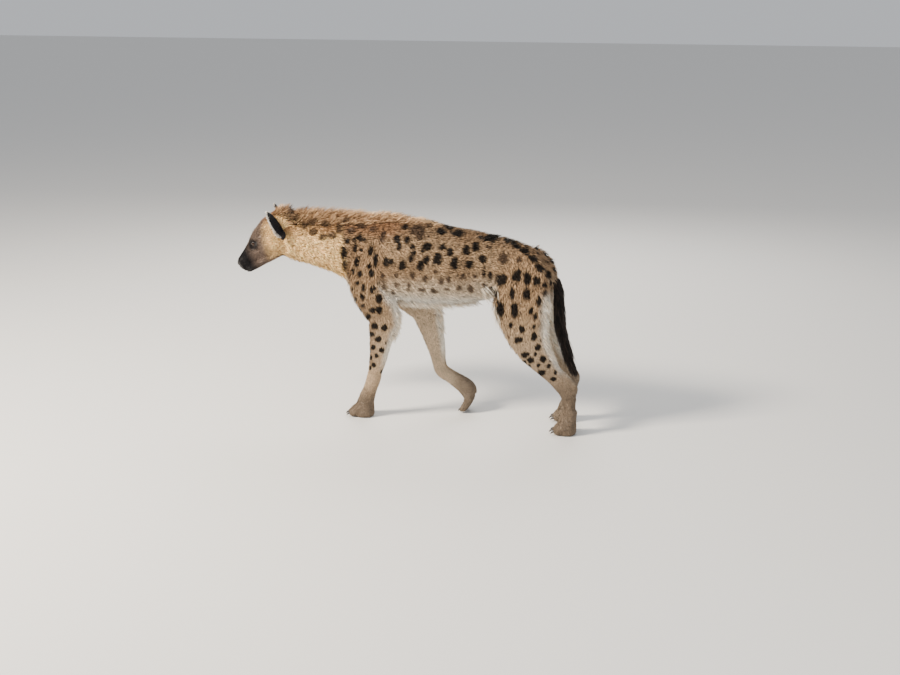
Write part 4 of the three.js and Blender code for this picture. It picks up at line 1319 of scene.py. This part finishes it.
class HYENA_OT_mane(bpy.types.Operator):
    """Grows the mane, the fringe under the belly and the tail's brush in long overlapping locks"""

    bl_idname = "hyena.mane"
    bl_label = "Mane, fringe and brush"

    def execute(self, context):
        rng = np.random.default_rng(settings().seed + 1)
        finish = coat_finish("long_hair", 0.55, 420.0)
        self.mane(rng, finish)
        self.fringe(rng, finish)
        self.brush(rng, finish)
        return {"FINISHED"}

    def mane(self, rng, finish):
        x, y, z = MADE["body"].T
        crest = np.interp(x, [-560, -500, -250, -60, 120], [745, 742, 752, 752, 748])
        half = np.interp(x, [-540, -400, 120], [40, 66, 40])
        pick = (np.abs(y) < half) & (z > crest - 12) & (x > -545) & (x < 120) & (MADE["normal"][:, 2] > 0.25)
        index = skin_roots(rng, pick, 5.2)
        root, out, n = MADE["body"][index], MADE["normal"][index], len(index)
        x, y, _ = root.T
        share, front, back = (
            np.clip(value, 0, 1) for value in ((x + 470) / 330, (x + 570) / 150, (125 - x) / 210))
        length = settings().mane_length / MM * (0.5 + 0.5 * front) * (0.5 + 0.5 * back)
        length = length * rng.uniform(0.75, 1.15, n) * (1 - 0.25 * np.abs(y) / 60)
        clump = value_noise(root, 20, 31)
        lie = along_skin(np.stack([np.ones(n), (clump - 0.5) * 0.9, np.zeros(n)], 1), out)
        rise = 1.15 - 0.55 * share + rng.normal(0, 0.12, n) + (clump - 0.5) * 0.5
        tip_tone_and_crest_highlight = rng.uniform(0.25, 0.95, n) * (0.4 + 0.6 * clump)
        # Painted highlight: locks near the midline of the mane's back half are pushed toward the pale tip
        # colour, as where light falls on the crest; apart from that, each lock's tip tone is random.
        tip_tone_and_crest_highlight = np.clip(tip_tone_and_crest_highlight + 0.4 * step(-360, -120, x) * step(35, 10, np.abs(y)), 0, 1)
        shade = mix(tone("russet"), tone("mane_tip"), tip_tone_and_crest_highlight)
        shade = mix(shade, tone("faded"), np.maximum(*spot_mask(root + lie * 15, MADE["marks"])) * 0.8)
        width = rng.uniform(4, 6.5, n)
        uv = MADE["uv"][index]
        obj = blades("mane", root, out, lie, length, width, rise, rise * 0.55, shade, uv, 4, 4, 2.5)
        dress(obj, finish, "mane")

    def fringe(self, rng, finish):
        body, normal, region = MADE["body"], MADE["normal"], MADE["region"]
        x, y, z = body.T
        belly = (region == BARREL) & (x > -60) & (x < 340) & (z < 475) & (normal[:, 2] < -0.2)
        fold = (x > 290) & (x < 372) & (z < 560) & (z > 440) & (np.abs(y) > 60)
        fold &= np.isin(region, (BARREL, HIND))
        thigh = (region == HIND) & (x > 520) & (z > 300) & (z < 520) & (normal[:, 0] > 0.55)
        chest = (region == BARREL) & (x < -150) & (z < 520) & (normal[:, 0] < -0.3)
        elbow = (region == FORE) & (z < 440) & (z > 330) & (normal[:, 0] > 0.6)
        index = skin_roots(rng, belly | fold | thigh | chest | elbow, 7.0)
        root, out, n = body[index], normal[index], len(index)
        belly, fold, short = belly[index], fold[index], (thigh | chest | elbow)[index]
        way = np.tile([0.75, 0.0, -0.75], (n, 1)) + rng.normal(0, 0.12, (n, 3))
        lie = unit(way - out * (way * out).sum(1)[:, None] * 0.9)
        length = settings().fringe_length / MM * rng.uniform(0.7, 1.15, n)
        length *= np.where(fold, 1.3, np.where(short, 0.75, 0.95))
        rise = rng.uniform(0.2, 0.5, n) + np.where(belly, 0.32, 0) + np.where(fold, 0.05, 0)
        shade = mix(tone("white"), tone("pale"), rng.uniform(0, 0.9, n))
        dark = np.maximum(*(
            spot_mask(root + lie * (length * share)[:, None], MADE["marks"])[0] for share in (0, 0.6)))
        shade = mix(shade, tone("spot"), dark * fold)
        width = rng.uniform(4, 6, n) * np.where(fold, 0.7, 1)
        uv = MADE["uv"][index]
        obj = blades("fringe", root, out, lie, length, width, rise, rise * 0.55, shade, uv, 3, 3, 2)
        dress(obj, finish, "pelt")

    def brush(self, rng, finish, rows=124, around=17):
        n = rows * around
        t = np.repeat(np.linspace(0.17, 0.985, rows), around) + rng.uniform(-0.004, 0.004, n)
        angle = np.tile(np.arange(around) * 2 * np.pi / around, rows) + rng.uniform(-0.3, 0.3, n)
        at, along, _, _ = TAIL.frame(t)
        root = TAIL.point(t, angle, -4)
        out = unit(root - at)
        lie = along_skin(unit(along + np.array([0.08, 0, -0.02]) + rng.normal(0, 0.06, (n, 3))), out)
        grow = np.clip((t - 0.12) / 0.3, 0.22, 1) * np.interp(t, [0.3, 0.85, 1], [1, 0.9, 0.75])
        length = settings().brush_length / MM * grow * rng.uniform(0.7, 1.05, n)
        rise = rng.uniform(0.2, 0.42, n)
        shade = mix(tone("black"), BRUSH_LIGHT, rng.uniform(0, 1, n) ** 2)
        tail = np.flatnonzero(MADE["region"] == BRUSH)
        uv = MADE["uv"][tail[nearest_sample(root, MADE["body"][tail])]]
        width = rng.uniform(4, 6.5, n)
        obj = blades("tail_brush", root, out, lie, length, width, rise, rise * -0.1, shade, uv, 4, 2, 1)
        dress(obj, finish, "dark_hair")


class HYENA_OT_eyes(bpy.types.Operator):
    """Sets the eyes in their sockets"""

    bl_idname = "hyena.eyes"
    bl_label = "Eyes"

    def execute(self, context):
        finish = eye_finish()
        for side, node in ((LEFT, "eye_left"), (RIGHT, "eye_right")):
            flip = np.array([1, side, 1])
            gaze = unit(head_dir(GAZE * flip))
            middle = head_to_body(np.array(EYE_AT) * flip)
            turn = Vector((0, 0, 1)).rotation_difference(Vector(gaze)).to_matrix().to_4x4()
            place = Matrix.Translation(Vector(to_world(middle))) @ turn
            bm = bmesh.new()
            bmesh.ops.create_uvsphere(
                bm, u_segments=40, v_segments=40, radius=EYE_RADIUS * MM * 0.985, matrix=place)
            mesh = smooth_mesh(bm, node)
            facing = unit(mesh_arrays(mesh)[0] / MM - SHIFT - middle) @ gaze
            ring = np.degrees(np.arccos(np.clip(facing, -1, 1)))
            shade = mix(PUPIL, IRIS, step(15, 19, ring))
            set_colour(mesh, "Iris", mix(shade, EYE_WHITE, step(33, 42, ring)))
            dress(new_object("ball_of_" + node, mesh), finish, "eye", (node,))
        return {"FINISHED"}


# The ear: its own directions, and its width and depth from the foot to the tip
EAR_UP = unit(np.array(EAR_LEAN, float))
EAR_FRONT = np.array([-0.97, -0.15, 0.1])
EAR_FRONT = unit(EAR_FRONT - EAR_UP * (EAR_FRONT @ EAR_UP))
EAR_OUT = np.cross(EAR_FRONT, EAR_UP)
EAR_WIDE = ([0, 0.2, 0.42, 0.62, 0.8, 0.93, 1], [0.6, 0.84, 1, 0.98, 0.78, 0.47, 0.14])
EAR_DEEP = ([0, 0.3, 0.6, 0.85, 1], [20, 20, 15, 8, 2])
EAR_BEND = 1.25
EAR_REACH, EAR_SUNK = 1.12, 0.14
EAR_THICK = 3.2


class HYENA_OT_ears(bpy.types.Operator):
    """Shapes the two rounded ears and their short hair"""

    bl_idname = "hyena.ears"
    bl_label = "Ears"

    def execute(self, context):
        finish = coat_finish("ear_hair", 0.6, 420.0)
        for side, node in ((LEFT, "ear_left"), (RIGHT, "ear_right")):
            shell = self.shell(side, node)
            dress(shell, finish, "dark_hair", (node,))
            dress(self.hair(shell.data, side, node), finish, "dark_hair")
        return {"FINISHED"}

    def shell(self, side, node):
        """A bent leaf with a thickness, dark behind."""
        flip = np.array([1, side, 1])
        bm = bmesh.new()
        for vert in bmesh.ops.create_grid(bm, x_segments=30, y_segments=34, size=1)["verts"]:
            bend, share = vert.co.x * EAR_BEND, (vert.co.y + 1) / 2
            wide, deep = (float(np.interp(share, *row)) for row in (EAR_WIDE, EAR_DEEP))
            p = EAR_OUT * EAR_HALF_WIDTH * wide * math.sin(bend) / math.sin(EAR_BEND)
            p = p - EAR_FRONT * deep * (math.cos(bend) - 0.55) * 1.1
            p = p + EAR_UP * (share * EAR_REACH - EAR_SUNK) * EAR_LENGTH
            vert.co = to_world(head_to_body((p + np.array(EAR_AT)) * flip))
        bmesh.ops.recalc_face_normals(bm, faces=bm.faces)
        bmesh.ops.solidify(bm, geom=bm.faces[:], thickness=EAR_THICK * MM)
        bmesh.ops.recalc_face_normals(bm, faces=bm.faces)
        mesh = smooth_mesh(bm, "shell_of_" + node)
        back = mesh_arrays(mesh)[1] @ unit(head_dir(-EAR_FRONT * flip))
        set_colour(mesh, "Coat", mix(EAR_SKIN, tone("ear_back"), step(-0.1, 0.25, back)))
        obj = new_object("shell_of_" + node, mesh)
        unwrap(obj, 0.01)
        return obj

    def hair(self, mesh, side, node):
        """Short hair, dark behind, brown in front, and pale and longer along the rims."""
        flip = np.array([1, side, 1])
        rng = np.random.default_rng(90 + int(side))
        co, normal, _ = mesh_arrays(mesh)
        tri, uv = triangles(mesh)
        corners = (co / MM - SHIFT)[tri]
        face, w = scatter(rng, areas(corners) / 5.0)
        root = between(corners[face], w)
        local = body_to_head(root) * flip - np.array(EAR_AT)
        keep = local @ EAR_UP / EAR_LENGTH > 0.02
        face, w, root, local = face[keep], w[keep], root[keep], local[keep]
        out = unit(between(normal[tri[face]], w))
        high, over, n = local @ EAR_UP / EAR_LENGTH, local @ EAR_OUT, len(root)
        share = (high + EAR_SUNK) / EAR_REACH
        edge = np.abs(over) / (EAR_HALF_WIDTH * np.interp(share, *EAR_WIDE))
        rimmed = np.maximum(step(0.94, 0.99, edge), step(0.96, 0.99, share))
        way = head_dir(EAR_UP * flip) + head_dir(EAR_OUT * flip) * (np.sign(over) * edge * 0.5)[:, None]
        lie = unit(way - out * (way * out).sum(1)[:, None] + rng.normal(0, 0.12, (n, 3)))
        inside = step(0.15, -0.15, out @ unit(head_dir(-EAR_FRONT * flip)))
        shade = mix(tone("ear_back"), EAR_INSIDE, inside * rng.uniform(0.3, 1, n))
        shade = mix(shade, EAR_RIM, rimmed * 0.9)
        length = 7 + 3 * rimmed + 8 * inside * step(0.5, 0.2, high)
        rise = rng.uniform(0.15, 0.4, n)
        at, width = between(uv[face], w), np.full(n, 2.2)
        return blades("hair_of_" + node, root, out, lie, length, width, rise, rise * 0.4, shade, at, 2, 1)


class HYENA_OT_claws(bpy.types.Operator):
    """Makes the blunt claws of all four feet"""

    bl_idname = "hyena.claws"
    bl_label = "Claws"

    def execute(self, context):
        bm = bmesh.new()
        for _, claws in PAWS:
            for root, middle, tip in claws:
                start = [2 * root[0] - middle[0], root[1], root[2] + 1]
                loft_rings(bm, Loft([
                    [*start, 4.4, 4.4, 3.4],
                    [*root, 4.4, 4.4, 3.4],
                    [*middle, 3.6, 3.6, 2.7],
                    [*tip, 0.9, 0.9, 0.8],
                ]), 12, 12)
        bmesh.ops.recalc_face_normals(bm, faces=bm.faces)
        mesh = smooth_mesh(bm, "claws")
        set_colour(mesh, "Coat", mix(HORN, HORN_TIP, step(14, 5, mesh_arrays(mesh)[0][:, 2] / MM)))
        dress(new_object("claws", mesh), horn_finish(), "paw")
        return {"FINISHED"}


# The stage: each lamp's place, width, power and colour
FLOOR_GAP = 0.0005
SKY = (0.92, 0.95, 1.0, 1)
SKY_STRENGTH = 0.6
LAMPS_AIM = (0, 0, 0.45)
LAMPS = {
    "key": ((-3.0, -2.6, 3.6), 1.2, 690, (1.0, 0.90, 0.76)),
    "fill": ((2.8, -3.0, 1.8), 3.0, 50, (0.92, 0.96, 1.0)),
    "rim": ((-0.4, 3.2, 2.8), 2.4, 110, (1.0, 0.96, 0.9)),
}


class HYENA_OT_stage(bpy.types.Operator):
    """Lays the floor and sets the lights and the camera"""

    bl_idname = "hyena.stage"
    bl_label = "Floor, lights and camera"

    def execute(self, context):
        bm = bmesh.new()
        bmesh.ops.create_grid(
            bm, x_segments=1, y_segments=1, size=settings().floor_size / 2,
            matrix=Matrix.Translation((0, 0, -FLOOR_GAP)))
        mesh = bpy.data.meshes.new("floor")
        bm.to_mesh(mesh)
        bm.free()
        mesh.materials.append(floor_finish())
        new_object("floor", mesh)
        world = bpy.data.worlds.new("soft studio")
        world.use_nodes = True
        sky = world.node_tree.nodes["Background"].inputs
        sky["Color"].default_value = SKY
        sky["Strength"].default_value = SKY_STRENGTH
        context.scene.world = world
        for name, lamp in LAMPS.items():
            self.light(name, *lamp)
        self.camera(context.scene)
        return {"FINISHED"}

    def light(self, name, at, size, power, colour):
        lamp = bpy.data.lights.new(name, "AREA")
        lamp.energy, lamp.size, lamp.color = power, size, colour
        obj = new_object(name, lamp)
        obj.location = at
        obj.rotation_euler = (Vector(LAMPS_AIM) - Vector(at)).to_track_quat("-Z", "Y").to_euler()

    def camera(self, scene):
        at, right, up, forward = view_axes()
        data = bpy.data.cameras.new("photo view")
        data.sensor_width = FILM_WIDTH
        data.lens = VIEW_LENS / PHOTO_WIDTH * FILM_WIDTH
        data.clip_end = 60
        camera = new_object("photo view", data)
        turn = Matrix((right, up, -forward)).transposed().to_4x4()
        camera.matrix_world = Matrix.Translation(to_world(at)) @ turn
        scene.camera = camera


class HYENA_PT_panel(bpy.types.Panel):
    """Lists the sizes and colours, and the pieces in the order in which they are made"""

    bl_idname = "HYENA_PT_panel"
    bl_label = "Hyena"
    bl_space_type = "VIEW_3D"
    bl_region_type = "UI"
    bl_category = "Hyena"

    def draw(self, context):
        for name in HyenaSettings.__annotations__:
            self.layout.prop(context.scene.hyena, name)
        for operator in ORDER:
            self.layout.operator(operator.bl_idname)


ORDER = (
    HYENA_OT_stage, HYENA_OT_skin, HYENA_OT_coat, HYENA_OT_mane, HYENA_OT_eyes, HYENA_OT_ears, HYENA_OT_claws,
)
CLASSES = (HyenaSettings, *ORDER, HYENA_PT_panel)


def register():
    for cls in CLASSES:
        bpy.utils.register_class(cls)
    bpy.types.Scene.hyena = bpy.props.PointerProperty(type=HyenaSettings)


def unregister():
    del bpy.types.Scene.hyena
    for cls in reversed(CLASSES):
        bpy.utils.unregister_class(cls)


def main():
    register()
    bpy.ops.hyena.stage()
    bpy.ops.hyena.skin()
    bpy.ops.hyena.coat()
    bpy.ops.hyena.mane()
    bpy.ops.hyena.eyes()
    bpy.ops.hyena.ears()
    bpy.ops.hyena.claws()


if __name__ == "__main__":
    main()
